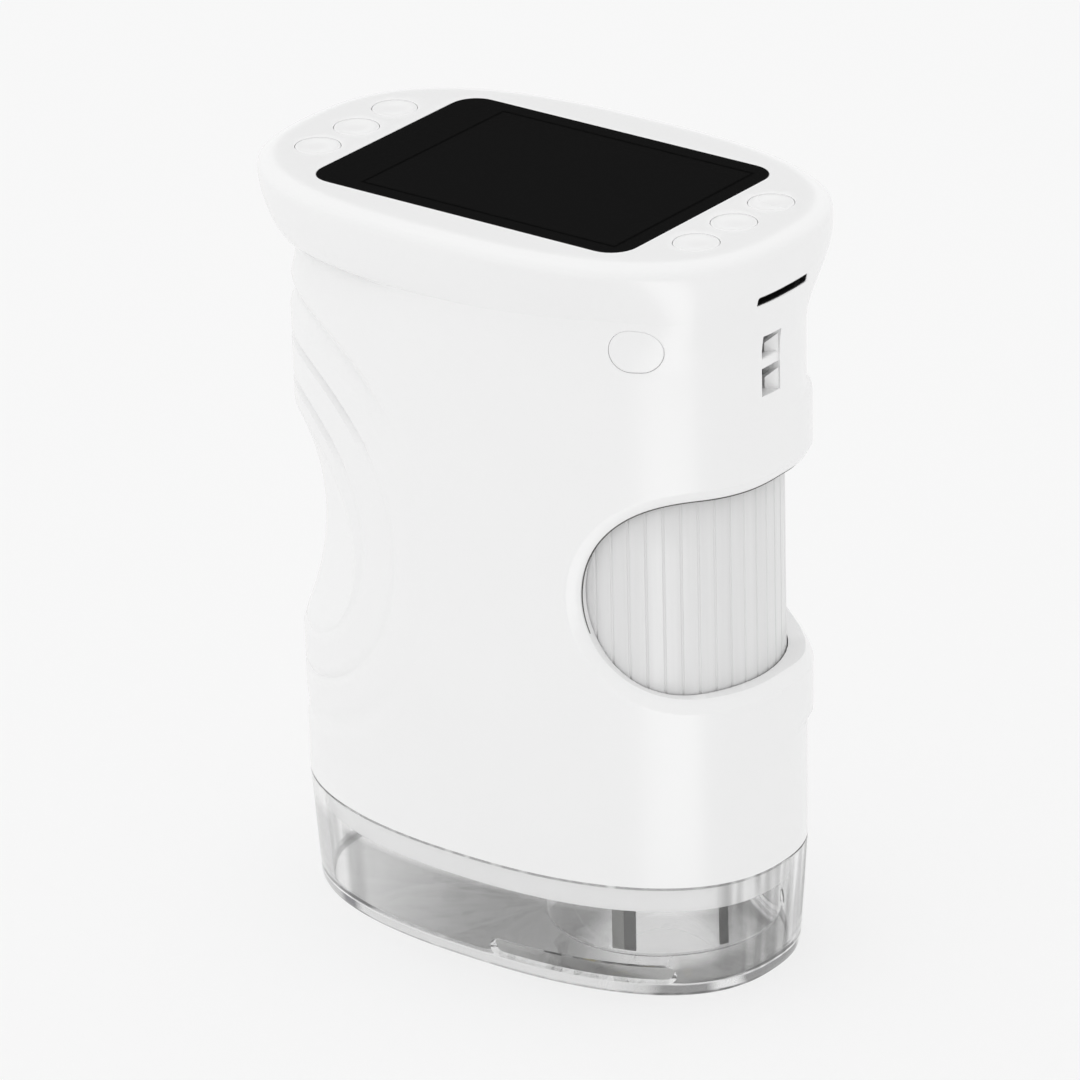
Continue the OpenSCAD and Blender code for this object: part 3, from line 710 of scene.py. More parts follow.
def lens_glass(name, tint):
    """Optical glass with a coating, hardly ever quite clean."""
    material, tree, shader, place = start_material(name, {
        "IOR": 1.52, "Transmission Weight": 1.0, "Base Color": tint, "Coat Weight": 0.4})
    dust = add_node(tree, "ShaderNodeTexNoise", inputs={"Vector": place, "Scale": 1 / (2 * MM)})
    gloss = add_node(tree, "ShaderNodeMapRange", inputs={
        "Value": dust.outputs["Fac"], "To Min": 0.0, "To Max": 0.03})
    feed(tree, shader, {"Roughness": gloss.outputs["Result"]})
    return material


# Shells and cover: satin white with a soft, wide gloss
WHITE_ABS = moulded("white_abs_satin", "#F3F3F3", "#F1F1F1", 0.25, ior=1.54)
# Round and oval buttons: the same white, a little duller
KEY_ABS = moulded("white_abs_keys", "#F2F2F2", "#F0F0F0", 0.28)
# Focus wheel: light grey, its tone streaked along the ribs
WHEEL_PLASTIC = moulded("grey_wheel_plastic", "#EAEAEA", "#DADADA", 0.3, cloud_mm=1.3, long=60)
# Standing base: clear and polished, with light and shade painted into the tint of its floor, walls and edges
CLEAR_BASE = clear_plastic("clear_acrylic_base", "#F8F8F8", painted_shade=True)
# Light sleeve and lens window: clear and polished
CLEAR_SLEEVE = clear_plastic("clear_acrylic_sleeve", "#FBFBFB")
# Screen: black under a mirror gloss
SCREEN_GLASS = screen_glass("black_cover_glass")
# Barrel, sockets and chips: black with hardly any gloss
BLACK_PLASTIC = moulded("black_matt_plastic", "#1C1C1C", "#171717", 0.5)
# Dark strips inside the light sleeve, and the thin strip of painted shade inside the wheel opening: dull dark
# grey
DARK_GREY_STRIP = moulded("dark_grey_strip_plastic", "#5A5A58", "#525250", 0.6)
# Strip beside them inside the light sleeve: middle grey
MID_GREY_STRIP = moulded("mid_grey_strip_plastic", "#8C8C89", "#868683", 0.5)
# Inner frame and battery tray: plain pale grey
GREY_PLASTIC = moulded("grey_frame_plastic", "#B9B9B7", "#B0B0AF", 0.5)
# Sockets and display frame: bright stamped sheet
SHEET_STEEL = metal("stamped_sheet_steel", "#B7B8B9", 0.35)
# Screws: zinc plated, a little darker
SCREW_STEEL = metal("zinc_screw_steel", "#A9AAAB", 0.38)
# Circuit boards: green lacquer over paler tracks
BOARD_GREEN = solder_mask("green_solder_mask", "#1D5B38", "#2B7349")
# Lamp board: white lacquer
BOARD_WHITE = solder_mask("white_solder_mask", "#E6E6E2", "#D8D8D2")
# Lamps: yellow resin over their chips
LAMP_RESIN = moulded("yellow_lamp_resin", "#EFE3A6", "#E6D688", 0.25)
# Flex of the sensor: amber film
FLEX_FILM = moulded("amber_polyimide_film", "#C8791F", "#B96C18", 0.3)
# Battery: blue shrink wrap
BATTERY_WRAP = moulded("blue_battery_wrap", "#3B6FA8", "#34639A", 0.35)
# Lenses: clear with a faint blue coating
OPTICAL_GLASS = lens_glass("coated_optical_glass", "#F3F6FA")


def finish(piece, material, body, slot, *nodes):
    """Gives the piece its material and its body, and hides the solids that it stands for. The slot is not
    used.
    """
    piece.data.materials.clear()
    piece.data.materials.append(material)
    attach(piece, body)
    if nodes:
        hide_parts(*nodes)


# ---------------------------------------------------------------- shells

def side_button_loop(extra, steps=18):
    """Oval of the front button laid flat on the skin, grown by extra."""
    length, height = SIDE_BUTTON
    r, flat = height / 2 + extra, (length - height) / 2
    middle = np.array(SIDE_BUTTON_AT)
    along = np.array([-math.sin(SIDE_BUTTON_TURN), math.cos(SIDE_BUTTON_TURN)])
    angles = np.linspace(-1.4, -0.3, 600)
    loop = []
    for side, start in ((1, -90), (-1, 90)):
        for i in range(steps + 1):
            a = math.radians(start + 180 * i / steps)
            across, z = side * flat + r * math.cos(a), middle[2] + r * math.sin(a)
            offsets = (skin(angles, z)[:, :2] - middle[:2]) @ along
            order = np.argsort(offsets)
            loop.append((span_at(np.interp(across, offsets[order], angles[order])), z))
    return np.array(loop)


def window_loop(side, extra, steps=64):
    """Outline of the wheel opening on one half, from the upper edge at the +X end round to the lower."""
    r = WINDOW_R + extra
    meet = span_at(abs(turn_at_x(WINDOW[0], WINDOW[1] + r, side)))
    points = [(side * u, WINDOW[1] + r) for u in np.linspace(0, meet, 24)[:-1]]
    for i in range(steps + 1):
        a = math.radians(90 + 180 * i / steps)
        x, z = WINDOW[0] + r * math.cos(a), WINDOW[1] + r * math.sin(a)
        points.append((span_at(turn_at_x(x, z, side)), z))
    points += [(side * u, WINDOW[1] - r) for u in np.linspace(meet, 0, 24)[1:]]
    return np.array(points)


def pocket_loop(side, step=0.5):
    """The part of the lanyard opening that lies on one half, as an open run from and to u = 0."""
    (y0, y1), (z0, z1) = POCKET_Y, POCKET_Z
    reach = max(0.0, side * (y1 if side > 0 else y0))
    count = max(2, int(reach / step) + 1)
    rows = max(3, int((z1 - z0) / step) + 1)
    ys = side * np.linspace(0, reach, count)
    top = [(span_at(turn_at_y(y, z1)), z1) for y in ys]
    left = [(span_at(turn_at_y(ys[-1], z)), z) for z in np.linspace(z1, z0, rows)][1:-1]
    low = [(span_at(turn_at_y(y, z0)), z0) for y in ys[::-1]]
    return np.array(top + left + low)


def half_outline(side, cuts, upper, step=0.8):
    """Closed flat loop of one half of the body, with the cuts taken from its +X edge."""
    far = side * ROUND
    edge = []
    marks = [SEAM_Z]
    for cut in sorted(cuts, key=lambda c: c[:, 1].min()):
        low, high = cut[-1, 1], cut[0, 1]
        count = max(1, int((low - marks[-1]) / step))
        edge += [(0.0, z) for z in np.linspace(marks[-1], low, count + 1)[:-1]]
        edge += [tuple(p) for p in cut[::-1][:-1]]
        marks.append(high)
    end = float(upper(0.0))
    count = max(1, int((end - marks[-1]) / step))
    edge += [(0.0, z) for z in np.linspace(marks[-1], end, count + 1)[:-1]]
    spans = np.linspace(0, far, int(ROUND / step) + 1)
    edge += [(u, float(upper(u))) for u in spans[:-1]]
    rows = np.linspace(float(upper(far)), SEAM_Z, int((float(upper(far)) - SEAM_Z) / step) + 1)
    edge += [(far, z) for z in rows[:-1]]
    edge += [(u, SEAM_Z) for u in spans[::-1][:-1]]
    return np.array(edge)


def screw_hole_loop(x, z):
    """Outline on the rear skin of the hole over a shell screw."""
    ring = circle(x, z, SCREW_HOLE_R, 28)
    return np.stack([span_at(turn_at_x(ring[:, 0], ring[:, 1], 1)), ring[:, 1]], -1)


def ring_lines(side, step=0.6):
    """Runs of points along the ripples and the edge of the grip, where the mesh must follow them."""
    runs = []
    for r, mid in [(GRIP_R, GRIP)] + [(ring + e * half, RIPPLE_MID) for ring, half, _ in RIPPLES
                                      for e in (-1, -0.5, 0, 0.5, 1)]:
        run = []
        for a in np.radians(np.arange(-100, 100, math.degrees(step / r))):
            x, z = mid[0] + r * math.cos(a), mid[1] + r * math.sin(a)
            if x > -34.5 and z > SEAM_Z + 1.5 and z < 93 and x < 0:
                run.append((span_at(turn_at_x(x, z, side)), z))
            elif run:
                runs.append((np.array(run), False))
                run = []
        if len(run) > 2:
            runs.append((np.array(run), False))
    return runs


def make_shell(side, name, node):
    """One half of the body with its part of the wheel opening and the lanyard opening, and its holes: that of
    the oval button in front, and those of the shell screws in the rear."""
    def upper(u):
        return crease_z(turn_at(u))

    window, pocket = window_loop(side, 0), pocket_loop(side)
    outline = half_outline(side, [window, pocket], upper)
    lines = [(window_loop(side, BEVEL_W * share)[1:-1], False) for share in (0.07, 0.5, 0.93, 1.0, 1.07)]
    if side < 0:
        holes = [side_button_loop(SIDE_BUTTON_HOLE)]
        lines += [(side_button_loop(SIDE_BUTTON_HOLE + e), True) for e in (0.07, 0.2)]
    else:
        holes = [screw_hole_loop(x, z) for x, z in SHELL_SCREWS]
    lines += ring_lines(side)
    spans = side * np.linspace(0.5, ROUND - 0.5, 240)
    lines += [(level(spans, upper(spans) - d), False) for d in (0.15, 0.3, 0.5, 0.85)]
    flat, faces = flat_patch(outline, holes, lines, step=0.75)
    bevel = chamfer(flat, window, BEVEL_W, BEVEL_D) + 0.15 * chamfer(flat, window, 0.2, 1.0)
    edge = round_off(flat, holes, 0.16, 0.07)
    turn = turn_at(flat[:, 0])
    outer = skin(turn, flat[:, 1], -bevel - edge)

    # Round the opening the wall reaches in as far as the wheel lets it
    wall = WALL + 0.2
    deep = np.full(len(flat), wall)
    for push in np.arange(2.05, 3.7, 0.05):
        x, y = skin(turn, flat[:, 1], -push).T[:2]
        deep = np.where(np.hypot(x - AXIS_X, y) > WHEEL_R + 0.12, push, deep)
    deep = mix(wall, deep, ease(2 * chamfer(flat, window, 2.5, 1.0)))

    # The button's hole widens behind the skin, so that the button can sink in square to it
    back = flat.copy()
    if side < 0:
        away = flat - holes[0].mean(0)
        back += chamfer(flat, holes[0], 1.0, 0.4)[:, None] * away / np.linalg.norm(away, axis=1)[:, None]
    lip = 0.7 * ease(2 * chamfer(flat, pocket, 2.5, 1.0))
    inner = skin(turn_at(back[:, 0]), back[:, 1], -deep - lip)
    finish(new_piece(name, *walled(outer, inner, faces)), WHITE_ABS, "housing", "white_plastic", node)


make_shell(-1, "front_shell_skin", "front_shell")
make_shell(1, "rear_shell_skin", "rear_shell")


def make_window_shade_strip():
    """Thin dark strip inside the upper and left edge of the wheel opening, thinner towards its lower end:
    painted shade, a dark thing that stands for the shadow in the gap between the opening's edge and the
    wheel.
    """
    parts = []
    show = np.interp(np.arange(SHADE_STRIP_COUNT), *zip(*SHADE_STRIP_WEIGHTS))
    for side in (-1, 1):
        within, behind = [window_loop(side, extra)[:SHADE_STRIP_COUNT] for extra in (-0.4, 0.2)]
        rings = []
        for low, high, share in zip(mix(behind, within, show[:, None]), behind, show):
            flat = np.array([low, high, high, low])
            rings.append(skin(turn_at(flat[:, 0]), flat[:, 1], -1.4 - 0.8 * share * np.array([0, 0, 1, 1])))
        parts.append(outward(*capped(rings)))
    finish(new_piece("wheel_window_seal", *merge(parts, 1e-5)), DARK_GREY_STRIP, "housing", "component_black")


def make_lip():
    """White lip under both shells, which plugs into the clear base."""
    profile = ((2.3, 17.3), (2.3, 12.9), (2.5, 12.6), (3.7, 12.6), (3.7, 17.3))   # inset, z
    rings = [level(oval(SEAM[0] - inset, SEAM[1] - inset, BODY_POWER, 120), z) for inset, z in profile]
    finish(new_piece("shell_lip", *lofted(rings[::-1], True)), WHITE_ABS, "housing", "white_plastic")


def make_screw_wells():
    """Cups behind the rear skin that hold the heads of the shell screws."""
    parts = []
    for x, z in SHELL_SCREWS:
        seat = skin_depth(x) - SCREW_SEAT
        mouth = skin(turn_at_x(x, z, 1), z)[1] - 1.2
        profile = [(0.01, seat - WELL_FLOOR), (WELL_R, seat - WELL_FLOOR), (WELL_R, mouth),
                   (SCREW_HOLE_R, mouth), (SCREW_HOLE_R, seat), (0.01, seat)]
        points, faces = lathe(profile, 0, 0, 32, closed=False)
        parts.append((np.stack([points[:, 0] + x, points[:, 2], z - points[:, 1]], -1), faces))
    finish(new_piece("screw_wells", *merge(parts, 0.05)), WHITE_ABS, "housing", "white_plastic")


def make_lanyard_bar():
    """Bar across the lanyard opening, nearly flush with the end, and the two ramps behind it."""
    bar = rounded_box(35.9, 37.4, *LANYARD_BAR_Z, 0.25, 0.3)
    rings = [np.insert(bar, 1, y, axis=1) for y in (POCKET_Y[1] + 0.2, POCKET_Y[0] - 0.2)]
    piece = new_piece("lanyard_bar_round", *capped(rings))
    finish(piece, WHITE_ABS, "housing", "white_plastic", "lanyard_bar")
    parts = []
    for low, high in ((POCKET_Z[0] - 0.6, LANYARD_BAR_Z[0]), (LANYARD_BAR_Z[1] - 0.3, POCKET_Z[1])):
        front = np.array([(36.0, -0.9, high - 2.2), (37.55, POCKET_Y[1] + 0.1, high - 0.7),
                          (36.8, POCKET_Y[1] + 0.6, high - 0.7), (35.4, -0.6, high - 2.2)])
        parts.append(outward(*capped([level(front[:, :2], low), front])))
    finish(new_piece("lanyard_cord_ramps", *merge(parts)), WHITE_ABS, "housing", "white_plastic")


# ---------------------------------------------------------------- head

def head_turn(u):
    """Plan angle at the distance u round the head, which is cut open at the middle of its rear."""
    return np.where(u < -ROUND, turn_at(u + 2 * ROUND) - 2 * math.pi, turn_at(u))


def card_slot_loop():
    """Outline of the memory card slot on the skin of the +X end."""
    loop = rounded_box(*CARD_Y, *CARD_Z, 0.25, 0.35)
    return np.stack([span_at(turn_at_y(loop[:, 0], loop[:, 1])), loop[:, 1]], -1)


def port_loop():
    """Outline of the charging port on the skin of the grip end."""
    length, height, z = PORT
    loop = rounded_box(-length / 2, length / 2, z - height / 2, z + height / 2, height / 2 - 0.01, 0.35)
    spans = span_at(turn_at_y(loop[:, 0], loop[:, 1]))
    return np.stack([-ROUND - spans, loop[:, 1]], -1)[::-1]


def make_head():
    """Cover with the flared rim, the holes for glass and keys, and the slots for card and plug."""
    top_z = TOP - MID_DROP
    cut = float(span_at(math.pi / 2))
    count = 250
    spans = np.linspace(cut - 2 * ROUND, cut, count + 1)
    folds = crease_z(head_turn(spans))

    # The side up to its widest line, laid flat
    side = [(cut, folds[-1] + (top_z - folds[-1]) * r) for r in np.linspace(0, 1, 12)[1:-1]]
    outline = ([(u, z) for u, z in zip(spans, folds)] + side + [(u, top_z) for u in spans[::-1]]
               + [(cut - 2 * ROUND, z) for _, z in side[::-1]])
    holes = [card_slot_loop(), port_loop()]
    lines = [(grown(hole, e), True) for hole in holes for e in (0.12, 0.3)]
    lines += [(level(spans, folds + d)[1:-1], False) for d in (0.05, 0.15, 0.35, 0.7)]
    flat, faces = flat_patch(outline, holes, lines, step=0.75)
    edge = round_off(flat, holes, 0.25, 0.15)
    turn = head_turn(flat[:, 0])
    outer = [skin(turn, flat[:, 1], -edge)]
    inner = [skin(turn, np.minimum(flat[:, 1], COVER_UNDER), -COVER_WALL)]
    sheets = [faces.tolist()]

    # The rim, which turns in to the top
    turn = head_turn(spans[:-1])
    rim_z = top_z + MID_DROP * np.sin(np.radians(np.linspace(0, 90, 13))) ** 0.8
    rim = [skin(turn, z) for z in rim_z]
    points, faces = lofted(rim)
    inset = np.repeat(rim_inset(rim_z), count)
    away = points[:, :2] / np.linalg.norm(points[:, :2], axis=1)[:, None]
    pulled = points[:, :2] - away * (COVER_WALL - inset * COVER_WALL / RIM_ROUND)[:, None]
    outer.append(points)
    inner.append(level(pulled, COVER_UNDER))
    sheets.append(faces)

    # The top with the seat of the glass and the wells of the keys
    x, y = GLASS[0] / 2 + 0.03, GLASS[1] / 2 + 0.03
    wells = [rounded_box(-x, x, -y, y, GLASS_CORNER, 0.7)]
    wells += [circle(sx * BUTTON_ROW, k * BUTTON_PITCH, BUTTON_R + 0.08, 48)
              for sx in (-1, 1) for k in (-1, 0, 1)]
    lines = [(grown(well, e), True) for well in wells for e in (0.06, 0.16)]
    flat, faces = flat_patch(rim[-1][:, :2], wells, lines, step=1.3)
    outer.append(level(flat, TOP - round_off(flat, wells, 0.15, 0.08)))
    inner.append(level(flat, COVER_UNDER))
    sheets.append(faces.tolist())

    faces, start = [], 0
    for sheet, points in zip(sheets, outer):
        faces += [[i + start for i in f] for f in sheet]
        start += len(points)
    both, faces = merge_pairs(np.hstack([np.concatenate(outer), np.concatenate(inner)]), faces)
    piece = new_piece("head_cover_skin", *walled(both[:, :3], both[:, 3:], faces))
    finish(piece, WHITE_ABS, "housing", "white_plastic", "head_cover")


def merge_pairs(both, faces, reach=2e-3):
    """Welds the points of an outer sheet, each with its inner partner."""
    welded_points, welded = merge([(both[:, :3], faces)], reach)
    tree = search_tree(both[:, :3])
    partner = np.array([both[tree.find(p)[1], 3:] for p in welded_points])
    return np.concatenate([welded_points, partner], 1), welded


def make_glass():
    """Black cover glass with a small bevel, set a hair below the rim of its seat."""
    profile = ((0.15, -1.15), (0, -1.0), (0, -0.09), (0.02, -0.06), (0.05, -0.05))   # inset, height
    rings = []
    for inset, z in profile:
        x, y = GLASS[0] / 2 - inset, GLASS[1] / 2 - inset
        rings.append(level(rounded_box(-x, x, -y, y, GLASS_CORNER - inset, 0.6), TOP + z))
    parts = [lofted(rings)]
    for ring, way in ((rings[-1], 1), (rings[0], -1)):
        flat, faces = flat_patch(ring[:, :2], step=4)
        parts.append((level(flat, ring[0, 2]), faces[:, ::way].tolist()))
    piece = new_piece("screen_cover_glass", *merge(parts, 1e-3), smooth=15)
    finish(piece, SCREEN_GLASS, "housing", "black_glass", "cover_glass")


def make_keys():
    """Six round keys with a rounded edge and a shallow dish, each with its own travel."""
    profile = ((0.2, -2.2), (0, -2.0), (0, -0.19), (0.03, -0.12), (0.1, -0.07), (0.22, -0.05), (0.7, -0.07),
               (1.3, -0.15), (2.1, -0.2), (2.8, -0.215))   # inset, height
    for sx, end in ((-1, "left"), (1, "right")):
        for k, row in ((-1, "front"), (0, "middle"), (1, "rear")):
            rings = [level(circle(sx * BUTTON_ROW, k * BUTTON_PITCH, BUTTON_R - inset, 48), TOP + z)
                     for inset, z in profile]
            piece = new_piece(f"{end}_key_{row}", *capped(rings))
            finish(piece, KEY_ABS, f"key_{end}_{row}", "key_plastic", f"{end}_button_{row}")


def make_side_key():
    """Oval key whose face follows the front skin, with a rounded edge."""
    outline = side_button_loop(SIDE_BUTTON_FACE)
    lines = [(side_button_loop(-e), True) for e in (0.03, 0.1, 0.3, 0.6)]
    flat, faces = flat_patch(outline, (), lines, step=0.6)
    edge = round_off(flat, [outline], 0.16, 0.07)
    crown = round_off(flat, [outline], 3.0, 0.06)
    turn = turn_at(flat[:, 0])
    outer, inner = [skin(turn, flat[:, 1], push) for push in (-edge - crown, -3.0)]
    piece = new_piece("side_key", *walled(outer, inner, faces))
    finish(piece, KEY_ABS, "key_side", "key_plastic", "side_button")


def make_card_slot():
    """Black liner of the memory card slot, a little behind the skin."""
    (y0, y1), (z0, z1) = CARD_Y, CARD_Z
    outer, inner = [rounded_box(y0 + e, y1 - e, z0 + e, z1 - e, r, 0.5)
                    for e, r in ((0.01, 0.24), (0.12, 0.14))]
    mouth = skin(turn_at_y(outer[:, 0], outer[:, 1]), outer[:, 1], -0.22)[:, 0]
    rings = [at_x(x, loop) for x, loop in ((35.2, outer), (mouth, outer), (mouth, inner), (35.6, inner))]
    finish(new_piece("card_slot_liner", *capped(rings)), BLACK_PLASTIC, "housing", "component_black")


def make_charge_port():
    """Steel shell and black tongue of the charging port in the grip end."""
    length, height, z = PORT
    rings = []
    for shrink, x in ((0.04, -35.4), (0.04, PORT_MOUTH + 0.1), (0.1, PORT_MOUTH), (0.3, PORT_MOUTH),
                      (0.36, PORT_MOUTH + 0.1), (0.36, -35.4)):
        half, up = length / 2 - shrink, height / 2 - shrink
        rings.append(at_x(x, rounded_box(-half, half, z - up, z + up, up - 0.02, 0.4)))
    piece = new_piece("charge_port_shell", *lofted(evened(rings)[::-1], True))
    finish(piece, SHEET_STEEL, "housing", "socket_steel")
    rings = []
    for shrink, x in ((0.12, -29.5), (0, -29.7), (0, -38.0), (0.1, -38.2)):
        half, up = TONGUE[0] - shrink, TONGUE[1] - shrink
        rings.append(at_x(x, rounded_box(-half, half, z - up, z + up, 0.2, 0.4)))
    piece = new_piece("charge_port_tongue", *capped(evened(rings)[::-1]))
    finish(piece, BLACK_PLASTIC, "housing", "component_black")


# ---------------------------------------------------------------- focus wheel, screws

def tree_with(name, sockets):
    """Empty geometry tree with a Geometry input and output and the named inputs of those kinds."""
    tree = bpy.data.node_groups.new(name, "GeometryNodeTree")
    tree.interface.new_socket("Geometry", in_out="INPUT", socket_type="NodeSocketGeometry")
    for label, kind in sockets.items():
        tree.interface.new_socket(label, in_out="INPUT", socket_type=kind)
    tree.interface.new_socket("Geometry", in_out="OUTPUT", socket_type="NodeSocketGeometry")
    return tree, tree.nodes.new("NodeGroupInput"), tree.nodes.new("NodeGroupOutput")


def run_tree(name, base, tree, values):
    """Applies the tree to the base object with those input values; returns the plain result."""
    modifier = base.modifiers.new("build", "NODES")
    modifier.node_group = tree
    for item in tree.interface.items_tree:
        if item.in_out == "INPUT" and item.name in values:
            modifier[item.identifier] = values[item.name]
    bpy.context.view_layer.update()
    made = bpy.data.meshes.new_from_object(base.evaluated_get(bpy.context.evaluated_depsgraph_get()))
    base.modifiers.remove(modifier)
    bpy.data.objects.remove(base)
    made.name = name
    piece = bpy.data.objects.new(name, made)
    bpy.context.scene.collection.objects.link(piece)
    return piece


def rib_mesh():
    """One rib of the wheel at y = 0, from the middle of one groove to the next, round the Z axis."""
    pitch = 360 / RIBS
    half = np.array([0, 0.16, 0.3, 0.38, 0.41, 0.43, 0.45, 0.475, 0.5]) * pitch
    across = np.concatenate([-half[:0:-1], half])
    off = np.radians(np.abs(across) - pitch / 2) * WHEEL_R
    groove = RIB_GROOVE * np.sqrt(np.clip(1 - (off / 0.2) ** 2, 0, 1)) + 0.05 * (across / pitch * 2) ** 2
    z0, z1 = WHEEL_Z
    lower = [(SLEEVE_R, z0, 0), (WHEEL_R - 1.2, z0, 0), (WHEEL_R - 0.3, z0 + 0.25, 0.6),
             (WHEEL_R, z0 + 0.7, 1), (WHEEL_R, z0 + 10, 1)]   # radius, z, share of the groove
    profile = lower + [(r, z0 + z1 - z, share) for r, z, share in lower[::-1]]
    a, count = np.radians(across), len(across)
    rings = []
    for r, z, share in profile:
        radius = r - share * groove
        rings.append(level(np.stack([radius * np.cos(a), radius * np.sin(a)], -1), z))
    faces = [[k * count + i, k * count + i + 1, (k + 1) * count + i + 1, (k + 1) * count + i]
             for k in range(len(rings) - 1) for i in range(count - 1)]
    return np.concatenate(rings), faces


def rib_tree():
    """Repeats the rib of the base mesh round the Z axis, welds the ring and puts it at its axis."""
    tree, start, end = tree_with("ribs_round_axis", {
        "Ribs": "NodeSocketInt", "Axis": "NodeSocketVector", "Plastic": "NodeSocketMaterial"})
    spots = add_node(tree, "GeometryNodeMeshLine", {"mode": "OFFSET"}, {
        "Count": start.outputs["Ribs"], "Offset": (0, 0, 0)})
    number = add_node(tree, "GeometryNodeInputIndex")
    share = add_node(tree, "ShaderNodeMath", {"operation": "DIVIDE"}, {
        0: number.outputs[0], 1: start.outputs["Ribs"]})
    angle = add_node(tree, "ShaderNodeMath", {"operation": "MULTIPLY"}, {0: share.outputs[0], 1: 2 * math.pi})
    turn = add_node(tree, "ShaderNodeCombineXYZ", inputs={"Z": angle.outputs[0]})
    ribs = add_node(tree, "GeometryNodeInstanceOnPoints", inputs={
        "Points": spots.outputs["Mesh"], "Instance": start.outputs["Geometry"], "Rotation": turn.outputs[0]})
    real = add_node(tree, "GeometryNodeRealizeInstances", inputs={"Geometry": ribs.outputs["Instances"]})
    weld = add_node(tree, "GeometryNodeMergeByDistance", inputs={
        "Geometry": real.outputs["Geometry"], "Distance": 2e-5})
    place = add_node(tree, "GeometryNodeTransform", inputs={
        "Geometry": weld.outputs["Geometry"], "Translation": start.outputs["Axis"]})
    paint = add_node(tree, "GeometryNodeSetMaterial", inputs={
        "Geometry": place.outputs["Geometry"], "Material": start.outputs["Plastic"]})
    feed(tree, end, {"Geometry": paint.outputs["Geometry"]})
    return tree


def make_wheel():
    """Ribbed sleeve from the rib and its tree, closed by a plain core with the bore."""
    ribbed = run_tree("ribbed_sleeve", new_piece("wheel_rib", *rib_mesh()), rib_tree(), {
        "Ribs": RIBS, "Axis": (AXIS_X * MM, 0, 0), "Plastic": WHEEL_PLASTIC})
    sleeve = [v.co / MM for v in ribbed.data.vertices], [list(p.vertices) for p in ribbed.data.polygons]
    bpy.data.objects.remove(ribbed)
    (z0, z1), low, high = WHEEL_Z, WHEEL_Z[0] - HUB_END, WHEEL_Z[1] + HUB_END
    core = [(SLEEVE_R, z0), (HUB_R, z0 - 0.1), (HUB_R, low + 0.3), (HUB_R - 0.3, low), (BORE_R + 0.25, low),
            (BORE_R, low + 0.25), (BORE_R, high - 0.25), (BORE_R + 0.25, high), (HUB_R - 0.3, high),
            (HUB_R, high - 0.3), (HUB_R, z1 + 0.1), (SLEEVE_R, z1)]
    points, faces = lathe(core, AXIS_X, 0, 90, closed=False)
    piece = new_piece("ribbed_focus_wheel", *merge([sleeve, (points, [f[::-1] for f in faces])]), smooth=40)
    finish(piece, WHEEL_PLASTIC, "wheel", "wheel_plastic", "focus_wheel")


def screw_mesh(head_r, head_h, shank_r, shank_l):
    """Pan head screw standing head up, with a cross recess."""
    arm, width, deep = head_r * 0.62, head_r * 0.17, head_h * 0.55
    cross = []
    for turn in range(4):
        c, s = math.cos(turn * math.pi / 2), math.sin(turn * math.pi / 2)
        cross += [(x * c - y * s, x * s + y * c) for x, y in ((arm, -width), (arm, width), (width, width))]
    cross, pit = level(cross, head_h), level(np.array(cross) * 0.8, head_h - deep)
    flat, faces = flat_patch(circle(0, 0, head_r * 0.72, 24), [cross[:, :2]], step=head_r)
    side = lathe([(0.01, -shank_l), (shank_r, -shank_l + 0.4), (shank_r, 0), (head_r, 0),
                  (head_r, head_h * 0.45), (head_r * 0.93, head_h * 0.8), (head_r * 0.72, head_h)],
                 0, 0, 24, closed=False)
    floor = [*pit, (0, 0, head_h - deep)], [[12, i, (i + 1) % 12] for i in range(12)]
    return merge([(level(flat, head_h), faces.tolist()), lofted([cross, pit]), floor, side], 1e-3)


def screw_tree():
    """Puts the screw on every point of the base mesh, all turned the same way."""
    tree, start, end = tree_with("screws_on_spots", {
        "Screw": "NodeSocketObject", "Turn": "NodeSocketRotation", "Steel": "NodeSocketMaterial"})
    screw = add_node(tree, "GeometryNodeObjectInfo", inputs={"Object": start.outputs["Screw"]})
    put = add_node(tree, "GeometryNodeInstanceOnPoints", inputs={
        "Points": start.outputs["Geometry"], "Instance": screw.outputs["Geometry"],
        "Rotation": start.outputs["Turn"]})
    real = add_node(tree, "GeometryNodeRealizeInstances", inputs={"Geometry": put.outputs["Instances"]})
    paint = add_node(tree, "GeometryNodeSetMaterial", inputs={
        "Geometry": real.outputs["Geometry"], "Material": start.outputs["Steel"]})
    feed(tree, end, {"Geometry": paint.outputs["Geometry"]})
    return tree


def make_screws():
    """The three sets of screws; a size is head radius, head height, shank radius and shank length."""
    tree = screw_tree()
    for name, node, size, turn, spots in (
            ("shell_screws_cross", "shell_screws", (2.1, 1.4, 0.9, 22), -90,
             [(x, skin_depth(x) - SCREW_SEAT, z) for x, z in SHELL_SCREWS]),
            ("plate_screws_cross", "plate_screws", (1.8, 0.8, 0.9, 7.5), 180,
             [(x, side * y, PLATE_SCREW_Z) for x, y in PLATE_SCREWS for side in (-1, 1)]),
            ("board_screws_cross", "board_screws", (1.6, 0.65, 0.9, 6), 0,
             [(x, side * y, BOARD_SCREW_Z) for x, y in BOARD_SCREWS for side in (-1, 1)])):
        single = new_piece("single_screw", *screw_mesh(*size))
        piece = run_tree(name, new_piece("spots", spots, []), tree, {
            "Screw": single, "Turn": (math.radians(turn), 0, 0), "Steel": SCREW_STEEL})
        bpy.data.objects.remove(single)
        finish(piece, SCREW_STEEL, "housing", "screw_steel", node)


# ---------------------------------------------------------------- clear base and light sleeve

